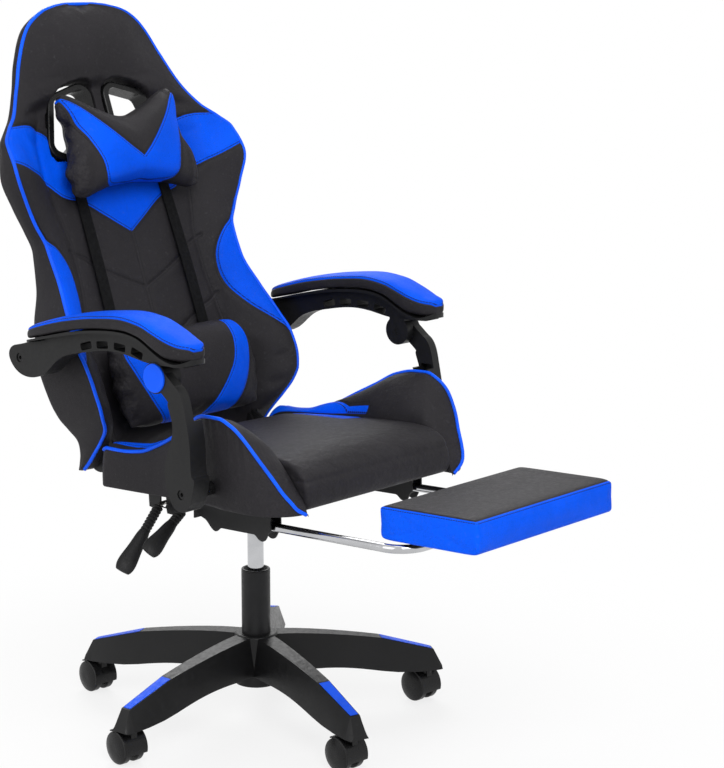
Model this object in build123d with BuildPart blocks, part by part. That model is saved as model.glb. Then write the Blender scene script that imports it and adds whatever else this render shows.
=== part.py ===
from build123d import *
from math import atan, cos, degrees, radians, sin, tan
import os

# Gaming chair with gas lift, reclining back, linked armrests, pull-out footrest and five twin-wheel casters.
# Frame: origin on the floor under the swivel axis, +X to the sitter's left, +Y behind the chair, +Z up.
# All sizes are in millimetres and degrees.

os.makedirs("parts", exist_ok=True)

# ---------------------------------------------------------------- driving dimensions
# clearances
run_fit = 0.05          # radial, for a shaft that turns or slides
loose_fit = 0.3         # radial, round the open pivot of the arm linkage
soft_gap = 0.3          # between a padded piece and what carries it
seat_fit = 0.1          # between fixed pieces that slip together

# five-star base
leg_count = 5
first_leg_angle = 38.0
leg_underside = 62.0
hub_radius = 38.0
hub_top = 152.0
leg_root_top = 150.0    # height of a leg's back where it leaves the hub
leg_bend_radius = 220.0  # where the arched part ends and the straight end starts
leg_bend_top = 127.0
caster_circle = 307.0   # radius that the caster stems stand on
leg_tip_reach = 11.0    # from a stem to where the straight end of a leg stops
leg_tip_radius = caster_circle + leg_tip_reach
leg_tip_top = 98.0
leg_end_reach = 26.0    # from a stem to the rounded end of a leg
leg_end_radius = caster_circle + leg_end_reach
leg_arch_bottom = 83.0
leg_root_width = 48.0
leg_tip_width = 42.0
leg_root_crest = 34.0   # width of the narrower upper side of a leg
leg_tip_crest = 18.0
leg_wall = 3.5
leg_ribs = [92.0, 138.0, 184.0, 230.0, 272.0]
insert_margin = 1.6
insert_depth = 1.8
insert_thickness = 2.6

# casters
caster_heading = 84.0   # direction from a stem to its axle
caster_trail = 16.0
wheel_radius = 28.0
wheel_width = 17.0
wheel_gap = 1.0         # from the centre web to a wheel
web_width = 12.0
web_radius = 21.0
axle_radius = 4.0
hood_gap = 1.3
hood_wall = 2.4
stem_radius = 5.5
stem_length = 24.0
stem_play = 1.5         # between the caster and the leg

# gas lift
column_radius = 25.0
column_wall = 2.0
column_bottom = 66.0
column_top = 262.0
bush_length = 80.0
cylinder_radius = 14.0
cylinder_bottom = 140.0
cylinder_top = 378.0
cylinder_taper_length = 43.0
cylinder_shoulder = cylinder_top - cylinder_taper_length
cylinder_taper_radius = 13.0
cylinder_bore = 12.0
rod_radius = 5.0
rod_head_bottom = 220.0
rod_head_height = 12.0
release_pin_radius = 4.0
release_pin_height = 7.0

# seat plane, raised at the front
seat_tilt = 2.5
seat_underside = 434.5  # height of the seat's underside over the swivel axis

# swivel plate
plate_length = 176.0
plate_width = 240.0
plate_thickness = 3.0
channel_half_width = 33.0
channel_length = 230.0
channel_bottom = 372.0
socket_radius = 31.0
socket_bottom = 345.0
bolt_spacing_x = 160.0
bolt_spacing_y = 120.0
bolt_radius = 4.0

# seat
seat_tube_radius = 11.0
seat_frame_half_width = 160.0
seat_frame_front = -256.0
seat_frame_rear = 122.0
cushion_half_width = 176.5
wing_half_width = 246.0
seat_front = -288.0
side_plate_inner = 170.5
side_plate_thickness = 6.0

# arm linkage: four pivots of a parallelogram, as (y, z)
knuckle_y = -83.5
knuckle_z = 655.0
post_pivot_y = -139.0
post_pivot_z = 477.0
arm_pivot_y = 245.0
arm_pivot_z = 647.0
recline_y = arm_pivot_y + post_pivot_y - knuckle_y
recline_z = arm_pivot_z + post_pivot_z - knuckle_z
arm_centre_x = 291.0
arm_thickness = 34.0
arm_wall = 4.5
knuckle_radius = 25.0
knuckle_split = 0.4     # gap between the two discs of a knuckle
pad_width = 70.0
pivot_bolt_radius = 5.0

# back
back_angle = 20.0
frame_tube_radius = 10.0
frame_plane = 9.0       # how far the tube frame lies in front of the back's plane
frame_half_width = 195.0
panel_front = 20.0      # flat front of the middle panel
back_plate_thickness = 8.0

# levers
lever_rod_radius = 3.5
lift_bellows_length = 42.0
lift_grip_length = 70.0
recline_bellows_length = 62.0
recline_grip_length = 78.0
bellows_radius = 8.5
bellows_pitch = 6.5
grip_width = 31.0
grip_thickness = 15.0

# footrest
rail_half_width = 174.0
rail_radius = 7.0
rail_start = -186.0     # a point of the rail's axis, as (y, z)
rail_start_z = 411.0
rail_rear = -80.0
rail_front = -484.0
rail_bend = 42.0
pad_front = -616.0
pad_rear = -426.0
pad_half_width = 170.0
pad_lift = 13.0         # from the rail's axis to the pad's underside
pad_thickness = 50.0
board_thickness = 4.0


# ---------------------------------------------------------------- shared places
seat_plane = Plane(
    origin=(0, 0, seat_underside),
    x_dir=(1, 0, 0),
    z_dir=(0, sin(radians(seat_tilt)), cos(radians(seat_tilt))),
)
rail_plane = Plane(origin=(0, rail_start, rail_start_z), x_dir=(1, 0, 0), z_dir=seat_plane.z_dir)


def seat_level(y):
    """Height of the seat's underside at a distance y behind the swivel axis."""
    return seat_underside - y * tan(radians(seat_tilt))


def back_section_plane(along):
    """Plane across the back: x to the left, y forward, at a distance along it from the recline axis."""
    up = Vector(0, sin(radians(back_angle)), cos(radians(back_angle)))
    origin = Vector(0, recline_y, recline_z) + up * along
    return Plane(origin=origin, x_dir=(-1, 0, 0), z_dir=up)


def back_face_plane(forward):
    """Plane parallel to the back: x to the sitter's right, y up the back, at a distance in front of it."""
    front = Vector(0, -cos(radians(back_angle)), sin(radians(back_angle)))
    origin = Vector(0, recline_y, recline_z) + front * forward
    return Plane(origin=origin, x_dir=(1, 0, 0), z_dir=front)


def side_plane(x):
    """Plane across the chair at x: its own x runs to the rear and its y runs up."""
    return Plane(origin=(x, 0, 0), x_dir=(0, 1, 0), z_dir=(1, 0, 0))


def save(builder, label):
    """Names a finished piece and writes it."""
    builder.part.label = label
    export_step(builder.part, f"parts/{label}.step")


# ---------------------------------------------------------------- five-star base
def leg_back(radius):
    """Height of a leg's upper side at a distance from the hub's axis."""
    if radius <= leg_bend_radius:
        share = max(radius - 30.0, 0.0) / (leg_bend_radius - 30.0)
        return leg_root_top - (leg_root_top - leg_bend_top) * share**1.5
    share = (radius - leg_bend_radius) / (leg_tip_radius - leg_bend_radius)
    return leg_bend_top - (leg_bend_top - leg_tip_top) * share


def leg_belly(radius):
    """Height of a leg's lower side: flat at both ends, with a soft step between them."""
    share = min(max((radius - 120.0) / 165.0, 0.0), 1.0)
    return leg_arch_bottom - (leg_arch_bottom - leg_underside) * share * share * (3 - 2 * share)


def leg_share(radius, root_value, tip_value):
    """A width that changes evenly from the hub to the tip."""
    return root_value + (tip_value - root_value) * min(radius / leg_tip_radius, 1.0)


def leg_section(radius, inset, drop):
    """Corner points of a leg's section, drawn in by a wall and let down below the belly."""
    low = leg_belly(radius) - drop
    high = leg_back(min(radius, leg_tip_radius)) - inset
    half_low = leg_share(radius, leg_root_width, leg_tip_width) / 2 - inset
    half_high = leg_share(radius, leg_root_crest, leg_tip_crest) / 2 - inset * 0.8
    return [(-half_low, low), (half_low, low), (half_high, high), (-half_high, high)]


def leg_plane(radius):
    """Plane across a leg that points along +X."""
    return Plane(origin=(radius, 0, 0), x_dir=(0, 1, 0), z_dir=(1, 0, 0))


leg_slope = atan((leg_bend_top - leg_tip_top) / (leg_tip_radius - leg_bend_radius))
insert_middle = (leg_bend_radius + leg_tip_radius) / 2
insert_plane = Plane(
    origin=(insert_middle, 0, leg_back(insert_middle)),
    x_dir=(cos(leg_slope), 0, -sin(leg_slope)),
    z_dir=(sin(leg_slope), 0, cos(leg_slope)),
)
insert_half_length = (leg_tip_radius - leg_bend_radius) / 2 / cos(leg_slope) - 3.0


def insert_outline(margin):
    """Trapezoid of a coloured insert, grown or shrunk by a margin."""
    wide = leg_share(leg_bend_radius, leg_root_crest, leg_tip_crest) / 2 - insert_margin + margin
    narrow = leg_tip_crest / 2 - insert_margin + margin
    reach = insert_half_length + margin
    return [(-reach, -wide), (reach, -narrow), (reach, narrow), (-reach, wide)]


with BuildPart() as leg:
    for arched_radius in (20.0, 75.0, 120.0, 170.0, leg_bend_radius):
        with BuildSketch(leg_plane(arched_radius)):
            Polygon(*leg_section(arched_radius, 0, 0), align=None)
    loft()
    for straight_radius in (leg_bend_radius, 250.0, 285.0, leg_tip_radius):
        with BuildSketch(leg_plane(straight_radius)):
            Polygon(*leg_section(straight_radius, 0, 0), align=None)
    loft(ruled=True)
    with BuildSketch(leg_plane(leg_tip_radius)):
        Polygon(*leg_section(leg_tip_radius, 0, 0), align=None)
    with BuildSketch(leg_plane(leg_end_radius)):
        nose = leg_tip_width / 2 - 4.0
        Polygon((-nose, leg_underside), (nose, leg_underside), (nose - 5, 68), (5 - nose, 68), align=None)
    loft(ruled=True)
    rib_pairs = zip([hub_radius + 4.0] + leg_ribs[:-1], leg_ribs)
    for pocket_start, pocket_end in rib_pairs:
        for pocket_radius in (pocket_start + 1.5, pocket_end - 1.5):
            with BuildSketch(leg_plane(pocket_radius)):
                Polygon(*leg_section(pocket_radius, leg_wall, 1.0), align=None)
        loft(ruled=True, mode=Mode.SUBTRACT)
    with BuildSketch(insert_plane.offset(-insert_depth)):
        Polygon(*insert_outline(seat_fit), align=None)
    extrude(amount=3 * insert_depth, mode=Mode.SUBTRACT)
    with BuildSketch(Plane.XY.offset(leg_underside)):
        with Locations((caster_circle, 0)):
            Circle(stem_radius + run_fit)
    extrude(amount=stem_length, mode=Mode.SUBTRACT)

with BuildPart() as star_base:
    with BuildSketch(Plane.XY.offset(leg_underside)):
        Circle(hub_radius)
    extrude(amount=hub_top - leg_underside)
    fillet(star_base.edges().sort_by(Axis.Z)[-1], radius=4)
    with PolarLocations(0, leg_count, start_angle=first_leg_angle):
        add(leg.part)
    with BuildSketch(Plane.XY.offset(leg_underside)):
        Circle(column_radius + seat_fit)
    extrude(amount=hub_top - leg_underside, mode=Mode.SUBTRACT)
save(star_base, "star_base")

with BuildPart() as leg_insert:
    with BuildSketch(insert_plane.offset(-insert_depth)):
        Polygon(*insert_outline(0), align=None)
    extrude(amount=insert_thickness)
    chamfer(leg_insert.faces().sort_by(Axis.Z)[-1].edges(), length=0.6)

with BuildPart() as leg_inserts:
    with PolarLocations(0, leg_count, start_angle=first_leg_angle):
        add(leg_insert.part)
save(leg_inserts, "leg_inserts")


# ---------------------------------------------------------------- casters
hood_inner = wheel_radius + hood_gap
hood_outer = hood_inner + hood_wall
wheel_offset = web_width / 2 + wheel_gap
hood_half_width = wheel_offset + wheel_width - 1.0
heading = Vector(cos(radians(caster_heading)), sin(radians(caster_heading)), 0)
axle_direction = heading.cross(Vector(0, 0, 1))

with BuildPart() as wheel_profile_part:
    with BuildSketch(Plane.XZ) as wheel_sketch:
        with BuildLine():
            Polyline((0, wheel_width - 2.0), (0, wheel_width), (6.0, wheel_width))
            Spline((6.0, wheel_width), (17.0, wheel_width - 1.2), (wheel_radius - 2.0, wheel_width - 4.0))
            RadiusArc((wheel_radius - 2.0, wheel_width - 4.0), (wheel_radius, wheel_width - 7.0), 3.5)
            Polyline((wheel_radius, wheel_width - 7.0), (wheel_radius, 1.5), (wheel_radius - 1.5, 0))
            Polyline((wheel_radius - 1.5, 0), (axle_radius + run_fit, 0))
            Polyline((axle_radius + run_fit, 0), (axle_radius + run_fit, wheel_width - 2.0), (0, wheel_width - 2.0))
        make_face()
    revolve(axis=Axis.Z)

for caster_index in range(leg_count):
    leg_angle = radians(first_leg_angle + caster_index * 360.0 / leg_count)
    stem_point = Vector(caster_circle * cos(leg_angle), caster_circle * sin(leg_angle), 0)
    caster_plane = Plane(origin=stem_point, x_dir=heading, z_dir=axle_direction)
    hood_top = wheel_radius + hood_outer
    with BuildPart() as housing:
        with BuildSketch(caster_plane):
            with Locations((caster_trail, wheel_radius)):
                Circle(hood_outer)
                Circle(hood_inner, mode=Mode.SUBTRACT)
            with BuildLine():
                Polyline((caster_trail, wheel_radius), (caster_trail + 20, 80), (90, 80), (90, -40))
                Polyline((90, -40), (-60, -40), (-60, wheel_radius - 19), (caster_trail, wheel_radius))
            make_face(mode=Mode.SUBTRACT)
        extrude(amount=hood_half_width, both=True)
        hood_rims = housing.faces().filter_by(GeomType.CYLINDER).sort_by(SortBy.RADIUS)[-1].edges()
        fillet(hood_rims.filter_by(GeomType.CIRCLE), radius=1.2)
        with BuildSketch(caster_plane):
            with Locations((caster_trail, wheel_radius)):
                Circle(web_radius)
            with BuildLine():
                Polyline((-9, wheel_radius + 4), (-9, hood_top), (caster_trail, hood_top))
                Polyline((caster_trail, hood_top), (caster_trail, wheel_radius), (-9, wheel_radius + 4))
            make_face()
        extrude(amount=web_width / 2, both=True)
        with BuildSketch(Plane(origin=stem_point + Vector(0, 0, hood_top - 6))):
            Circle(stem_radius + 4.0)
        extrude(amount=6 + stem_play * 0.5)
        with BuildSketch(Plane(origin=stem_point + Vector(0, 0, hood_top - 1))):
            Circle(stem_radius)
        extrude(amount=leg_underside - hood_top + stem_length - 1.0)
        with BuildSketch(caster_plane):
            with Locations((caster_trail, wheel_radius)):
                Circle(axle_radius)
        extrude(amount=wheel_offset + wheel_width - 3.0, both=True)
    save(housing, f"caster_housing_{caster_index + 1}")
    for side_name, side in (("a", 1), ("b", -1)):
        wheel_origin = stem_point + heading * caster_trail + Vector(0, 0, wheel_radius)
        wheel_plane = Plane(
            origin=wheel_origin + axle_direction * (side * wheel_offset),
            x_dir=(0, 0, 1),
            z_dir=axle_direction * side,
        )
        with BuildPart() as wheel:
            add(wheel_plane * wheel_profile_part.part)
        save(wheel, f"caster_wheel_{caster_index + 1}{side_name}")


# ---------------------------------------------------------------- gas lift
with BuildPart() as column_tube:
    with BuildSketch(Plane.XZ):
        with BuildLine():
            Polyline((rod_radius + run_fit, column_bottom), (column_radius - 1.5, column_bottom))
            Polyline((column_radius - 1.5, column_bottom), (column_radius, column_bottom + 1.5))
            Polyline((column_radius, column_bottom + 1.5), (column_radius, column_top))
            Polyline((column_radius, column_top), (column_radius - column_wall, column_top))
            Polyline((column_radius - column_wall, column_top), (column_radius - column_wall, column_bottom + 4))
            Polyline((column_radius - column_wall, column_bottom + 4), (rod_radius + run_fit, column_bottom + 4))
            Polyline((rod_radius + run_fit, column_bottom + 4), (rod_radius + run_fit, column_bottom))
        make_face()
    revolve(axis=Axis.Z)
save(column_tube, "column_tube")

bush_radius = column_radius - column_wall - seat_fit
bush_bore = cylinder_radius + run_fit
with BuildPart() as column_bush:
    with BuildSketch(Plane.XZ):
        with BuildLine():
            Polyline((bush_bore, column_top - bush_length), (bush_radius, column_top - bush_length))
            Polyline((bush_radius, column_top - bush_length), (bush_radius, column_top))
            Polyline((bush_radius, column_top), (column_radius, column_top), (column_radius, column_top + 2))
            RadiusArc((column_radius, column_top + 2), (column_radius - 2, column_top + 4), -2)
            Polyline((column_radius - 2, column_top + 4), (column_radius - 4, column_top + 4))
            Polyline((column_radius - 4, column_top + 4), (bush_bore + 2, column_top - 4), (bush_bore, column_top - 4))
            Polyline((bush_bore, column_top - 4), (bush_bore, column_top - bush_length))
        make_face()
    revolve(axis=Axis.Z)
save(column_bush, "column_bush")

with BuildPart() as piston_rod:
    with BuildSketch(Plane.XZ):
        with BuildLine():
            head_radius = cylinder_bore - run_fit
            Polyline((0, column_bottom - 3.5), (8, column_bottom - 3.5), (8, column_bottom - run_fit))
            Polyline((8, column_bottom - run_fit), (rod_radius, column_bottom - run_fit))
            Polyline((rod_radius, column_bottom - run_fit), (rod_radius, column_bottom + 4 + run_fit))
            Polyline((rod_radius, column_bottom + 4 + run_fit), (11, column_bottom + 4 + run_fit))
            Polyline((11, column_bottom + 4 + run_fit), (11, column_bottom + 8), (rod_radius, column_bottom + 8))
            Polyline((rod_radius, column_bottom + 8), (rod_radius, rod_head_bottom))
            Polyline((rod_radius, rod_head_bottom), (head_radius, rod_head_bottom))
            Polyline((head_radius, rod_head_bottom), (head_radius, rod_head_bottom + rod_head_height))
            Polyline((head_radius, rod_head_bottom + rod_head_height), (0, rod_head_bottom + rod_head_height))
            Polyline((0, rod_head_bottom + rod_head_height), (0, column_bottom - 3.5))
        make_face()
    revolve(axis=Axis.Z)
save(piston_rod, "piston_rod")

with BuildPart() as gas_cylinder:
    with BuildSketch(Plane.XZ):
        with BuildLine():
            guide = rod_radius + run_fit
            Polyline((guide, cylinder_bottom), (cylinder_radius - 1, cylinder_bottom))
            Polyline((cylinder_radius - 1, cylinder_bottom), (cylinder_radius, cylinder_bottom + 1))
            Polyline((cylinder_radius, cylinder_bottom + 1), (cylinder_radius, cylinder_shoulder))
            Polyline((cylinder_radius, cylinder_shoulder), (cylinder_taper_radius, cylinder_top - 1))
            Polyline((cylinder_taper_radius, cylinder_top - 1), (cylinder_taper_radius - 1, cylinder_top))
            Polyline((cylinder_taper_radius - 1, cylinder_top), (release_pin_radius + run_fit, cylinder_top))
            Polyline((release_pin_radius + run_fit, cylinder_top), (release_pin_radius + run_fit, cylinder_top - 12))
            Polyline((release_pin_radius + run_fit, cylinder_top - 12), (0, cylinder_top - 12))
            Polyline((0, cylinder_top - 12), (0, cylinder_shoulder - 5), (cylinder_bore, cylinder_shoulder - 5))
            Polyline((cylinder_bore, cylinder_shoulder - 5), (cylinder_bore, cylinder_bottom + 10))
            Polyline((cylinder_bore, cylinder_bottom + 10), (guide, cylinder_bottom + 10), (guide, cylinder_bottom))
        make_face()
    revolve(axis=Axis.Z)
save(gas_cylinder, "gas_cylinder")

with BuildPart() as release_pin:
    with BuildSketch(Plane.XY.offset(cylinder_top - 7)):
        Circle(release_pin_radius)
    extrude(amount=7 + release_pin_height)
    chamfer(release_pin.edges().sort_by(Axis.Z)[-1], length=0.8)
save(release_pin, "release_pin")


# ---------------------------------------------------------------- swivel plate
cross_bar_width = 40.0
cross_bar_thickness = 4.0
lever_pin_radius = 3.0
lift_pin_x = -70.0
lift_rod_z = cylinder_top + release_pin_height + lever_rod_radius + 0.8

with BuildPart() as swivel_plate:
    with BuildSketch(seat_plane.offset(-plate_thickness)):
        RectangleRounded(plate_width, plate_length, 12)
    extrude(amount=plate_thickness)
    with BuildSketch(side_plane(-channel_length / 2)):
        half = channel_half_width
        wall = plate_thickness
        Polygon((-half, seat_level(-half) - wall), (-half, channel_bottom), (wall - half, channel_bottom),
                (wall - half, seat_level(wall - half) - wall), align=None)
        Polygon((half, seat_level(half) - wall), (half - wall, seat_level(half - wall) - wall),
                (half - wall, channel_bottom), (half, channel_bottom), align=None)
    extrude(amount=channel_length)
    with BuildSketch(Plane.XY.offset(socket_bottom)):
        Circle(socket_radius)
    extrude(amount=cylinder_top - 4 - socket_bottom)
    with BuildSketch(Plane.XZ):
        with BuildLine():
            Polyline((0, socket_bottom - 2), (cylinder_radius + run_fit, socket_bottom - 2))
            Polyline((cylinder_radius + run_fit, socket_bottom - 2), (cylinder_taper_radius + run_fit, cylinder_top))
            Polyline((cylinder_taper_radius + run_fit, cylinder_top), (0, cylinder_top), (0, socket_bottom - 2))
        make_face()
    revolve(axis=Axis.Z, mode=Mode.SUBTRACT)
    with BuildSketch(Plane.XZ):
        with Locations((lift_pin_x, lift_rod_z)):
            Circle(lever_pin_radius + run_fit)
    extrude(amount=2 * channel_half_width, both=True, mode=Mode.SUBTRACT)
    with BuildSketch(seat_plane.offset(-plate_thickness)):
        with GridLocations(bolt_spacing_x, bolt_spacing_y, 2, 2):
            Circle(bolt_radius + loose_fit)
    extrude(amount=plate_thickness, mode=Mode.SUBTRACT)
save(swivel_plate, "swivel_plate")

with BuildPart() as plate_bolts:
    with BuildSketch(seat_plane.offset(-plate_thickness - 5)):
        with GridLocations(bolt_spacing_x, bolt_spacing_y, 2, 2):
            RegularPolygon(radius=7.0, side_count=6)
    extrude(amount=5)
    with BuildSketch(seat_plane.offset(-plate_thickness)):
        with GridLocations(bolt_spacing_x, bolt_spacing_y, 2, 2):
            Circle(bolt_radius)
    extrude(amount=plate_thickness + cross_bar_thickness + 4)
save(plate_bolts, "plate_bolts")


# ---------------------------------------------------------------- seat frame
side_plate_outer = side_plate_inner + side_plate_thickness
back_plate_inner = side_plate_outer + 1.0
frame_middle = (seat_frame_rear + seat_frame_front) / 2
tube_level = seat_tube_radius + 0.2
recliner_radius = 31.0
recliner_pin_radius = 8.0
frame_corner = 45.0
side_signs = (("left", 1), ("right", -1))

with BuildPart() as seat_frame:
    with BuildLine(seat_plane.offset(tube_level)) as half_ring:
        FilletPolyline(
            (0, seat_frame_front),
            (seat_frame_half_width, seat_frame_front),
            (seat_frame_half_width, seat_frame_rear),
            (0, seat_frame_rear),
            radius=frame_corner,
        )
    ring_start = half_ring.line @ 0
    with BuildSketch(Plane(origin=ring_start, z_dir=half_ring.line % 0)):
        Circle(seat_tube_radius)
    sweep(path=half_ring.line)
    mirror(about=Plane.YZ)
    with BuildSketch(seat_plane.offset(0.2)):
        with GridLocations(0, bolt_spacing_y, 1, 2):
            Rectangle(2 * seat_frame_half_width, cross_bar_width)
    extrude(amount=cross_bar_thickness)
    with BuildSketch(seat_plane.offset(0.2)):
        with GridLocations(bolt_spacing_x, bolt_spacing_y, 2, 2):
            Circle(bolt_radius + run_fit)
    extrude(amount=cross_bar_thickness, mode=Mode.SUBTRACT)
    for side_name, side in side_signs:
        with BuildSketch(side_plane(side * side_plate_inner)):
            with Locations((post_pivot_y, post_pivot_z)):
                Circle(21)
            with Locations((post_pivot_y, (post_pivot_z + 444) / 2)):
                Rectangle(42, post_pivot_z - 444)
            with Locations((recline_y, recline_z)):
                Circle(recliner_radius)
            Polygon((30, 438), (30, 452), (112, 468), (recline_y, recline_z + recliner_radius),
                    (recline_y, recline_z - recliner_radius), (120, 436), align=None)
        extrude(amount=side * side_plate_thickness)
        with BuildSketch(side_plane(side * side_plate_inner)):
            with Locations((post_pivot_y, post_pivot_z)):
                Circle(pivot_bolt_radius + run_fit)
            with Locations((recline_y, recline_z)):
                Circle(recliner_pin_radius + run_fit)
        extrude(amount=side * side_plate_thickness, mode=Mode.SUBTRACT)
save(seat_frame, "seat_frame")

back_plate_outer = back_plate_inner + back_plate_thickness
with BuildPart() as recliners:
    for side_name, side in side_signs:
        with BuildSketch(side_plane(side * (side_plate_inner - 5.3))):
            with Locations((recline_y, recline_z)):
                Circle(24)
        extrude(amount=side * 5)
        with BuildSketch(side_plane(side * (side_plate_inner - 0.3))):
            with Locations((recline_y, recline_z)):
                Circle(recliner_pin_radius)
        extrude(amount=side * (back_plate_outer - side_plate_inner + 1.3))
        with BuildSketch(side_plane(side * (back_plate_outer + 0.5))):
            with Locations((recline_y, recline_z)):
                Circle(13)
        extrude(amount=side * 3)
save(recliners, "recliners")


# ---------------------------------------------------------------- seat cushion and wings
cushion_low = seat_level(seat_front) + 0.5
cushion_rear = seat_frame_rear + seat_tube_radius + 8.0
inner_half_width = side_plate_inner - 0.7

with BuildPart() as seat_cushion:
    with BuildSketch(side_plane(-cushion_half_width)):
        with BuildLine():
            Line((cushion_rear, seat_level(cushion_rear) + 0.5), (seat_front, cushion_low))
            Line((seat_front, cushion_low), (seat_front + 3, 495))
            Spline((seat_front + 3, 495), (-262, 522), (-200, 527), tangents=((0, 1), (1, 0)))
            Spline((-200, 527), (-90, 520), (20, 510), (80, 503), tangents=((1, 0), (1, -0.2)))
            Spline((80, 503), (118, 488), (cushion_rear, 466), tangents=((1, -0.2), (0.1, -1)))
            Line((cushion_rear, 466), (cushion_rear, seat_level(cushion_rear) + 0.5))
        make_face()
    extrude(amount=2 * cushion_half_width)
    for side_name, side in side_signs:
        with BuildSketch(Plane.XY.offset(400)):
            Polygon(
                (side * inner_half_width, -178),
                (side * (cushion_half_width + 5), -178),
                (side * (cushion_half_width + 5), 200),
                (side * inner_half_width, 200),
                align=None,
            )
        extrude(amount=200, mode=Mode.SUBTRACT)
    with BuildSketch(seat_plane.offset(-20)):
        with Locations((0, frame_middle)):
            RectangleRounded(
                2 * (seat_frame_half_width + seat_tube_radius + soft_gap),
                seat_frame_rear - seat_frame_front + 2 * (seat_tube_radius + soft_gap),
                frame_corner + seat_tube_radius,
            )
    extrude(amount=20 + 2 * seat_tube_radius + 0.5, mode=Mode.SUBTRACT)
save(seat_cushion, "seat_cushion")

wing_inner = side_plate_outer + 0.6
spacer_radius = 11.0
for side_name, side in side_signs:
    with BuildPart() as seat_wing:
        with BuildSketch(side_plane(side * wing_inner)):
            with BuildLine():
                Line((146, seat_level(146)), (-284, seat_level(-284)))
                Spline((-284, seat_level(-284)), (-264, 497), (-222, 562), (-165, 594),
                       tangents=((0.2, 1), (1, 0)))
                Spline((-165, 594), (-105, 574), (-45, 544), (0, 522), (47, 513), (96, 512),
                       tangents=((1, 0), (1, -0.1)))
                Spline((96, 512), (130, 495), (146, 466), tangents=((1, -0.1), (0, -1)))
                Line((146, 466), (146, seat_level(146)))
            make_face()
        extrude(amount=side * (wing_half_width - wing_inner + 6))
        with BuildSketch(Plane.XY.offset(380)):
            with BuildLine():
                Line((side * wing_inner, 146), (side * 230, 146))
                Spline((side * 230, 146), (side * 240, 0), (side * (wing_half_width + 5), -150),
                       (side * 240, -235), (side * 212, -272), (side * (wing_inner + 2), -287))
                Line((side * (wing_inner + 2), -287), (side * wing_inner, -287))
                Line((side * wing_inner, -287), (side * wing_inner, 146))
            make_face()
        extrude(amount=250, mode=Mode.INTERSECT)
        with BuildSketch(side_plane(side * (wing_inner - 1))):
            with Locations((post_pivot_y, post_pivot_z)):
                Circle(spacer_radius + soft_gap)
        extrude(amount=side * 90, mode=Mode.SUBTRACT)
    save(seat_wing, f"seat_wing_{side_name}")


# ---------------------------------------------------------------- footrest guides
def rail_side_plane(x):
    """Plane across the chair in the rails' tilted frame: its x runs rearwards along the rails."""
    return Plane(origin=rail_plane.origin + Vector(x, 0, 0), x_dir=rail_plane.y_dir, z_dir=(1, 0, 0))


guide_height = (seat_level(rail_start) - rail_start_z) * cos(radians(seat_tilt)) - 0.2
guide_half_width = 13.0
guide_wall = 2.5
bush_positions = (90.0, -10.0)
bush_half_length = 8.0
bush_half_height = 11.0

with BuildPart() as guide_brackets:
    for side_name, side in side_signs:
        for wall_x in (-guide_half_width, guide_half_width - guide_wall):
            with BuildSketch(rail_side_plane(side * rail_half_width + wall_x)):
                with BuildLine():
                    Line((-29, guide_height), (136, guide_height))
                    Line((136, guide_height), (136, 10))
                    Spline((136, 10), (118, -4), (104, -17), (94, -21), (82, -14),
                           tangents=((0, -1), (-1, 0.3)))
                    Line((82, -14), (8, -14))
                    Spline((8, -14), (-2, -21), (-14, -22), (-24, -8), (-29, 14), tangents=((-1, -0.3), (0, 1)))
                    Line((-29, 14), (-29, guide_height))
                make_face()
                with Locations((62, 20)):
                    SlotOverall(52, 6, mode=Mode.SUBTRACT)
            extrude(amount=guide_wall)
        with BuildSketch(rail_plane.offset(guide_height - guide_wall)):
            with Locations((side * rail_half_width, 53.5)):
                Rectangle(2 * guide_half_width, 165)
        extrude(amount=guide_wall)
save(guide_brackets, "guide_brackets")

with BuildPart() as guide_bushes:
    for side_name, side in side_signs:
        for bush_position in bush_positions:
            with BuildSketch(rail_plane.shift_origin(rail_plane.origin + rail_plane.y_dir * bush_position)
                             .rotated((90, 0, 0))):
                with Locations((side * rail_half_width, 0)):
                    RectangleRounded(2 * (guide_half_width - guide_wall - seat_fit), 2 * bush_half_height, 3)
                    Circle(rail_radius + run_fit, mode=Mode.SUBTRACT)
            extrude(amount=bush_half_length, both=True)
save(guide_bushes, "guide_bushes")


# ---------------------------------------------------------------- footrest
def along_rail(y):
    """Distance along the rails of a place y behind the swivel axis."""
    return (y - rail_start) / cos(radians(seat_tilt))


rail_tip = along_rail(rail_rear)
bar_position = along_rail(rail_front)
rail_wall = 1.5

with BuildPart() as footrest_tube:
    with BuildLine(rail_plane) as rail_path:
        FilletPolyline(
            (rail_half_width, rail_tip),
            (rail_half_width, bar_position),
            (-rail_half_width, bar_position),
            (-rail_half_width, rail_tip),
            radius=rail_bend,
        )
    with BuildSketch(Plane(origin=rail_path.line @ 0, z_dir=rail_path.line % 0)):
        Circle(rail_radius)
        Circle(rail_radius - rail_wall, mode=Mode.SUBTRACT)
    sweep(path=rail_path.line)
save(footrest_tube, "footrest_tube")

with BuildPart() as rail_plugs:
    with BuildSketch(rail_plane.shift_origin(rail_plane.origin + rail_plane.y_dir * rail_tip).rotated((-90, 0, 0))):
        with GridLocations(2 * rail_half_width, 0, 2, 1):
            Circle(rail_radius)
    extrude(amount=2.5)
    with BuildSketch(rail_plane.shift_origin(rail_plane.origin + rail_plane.y_dir * rail_tip).rotated((-90, 0, 0))):
        with GridLocations(2 * rail_half_width, 0, 2, 1):
            Circle(rail_radius - rail_wall - seat_fit)
    extrude(amount=-12)
save(rail_plugs, "rail_plugs")

pad_middle = (along_rail(pad_front) + along_rail(pad_rear)) / 2
pad_length = along_rail(pad_rear) - along_rail(pad_front)
clip_positions = 180.0
clip_width = 26.0
clip_wall = 1.9

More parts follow.
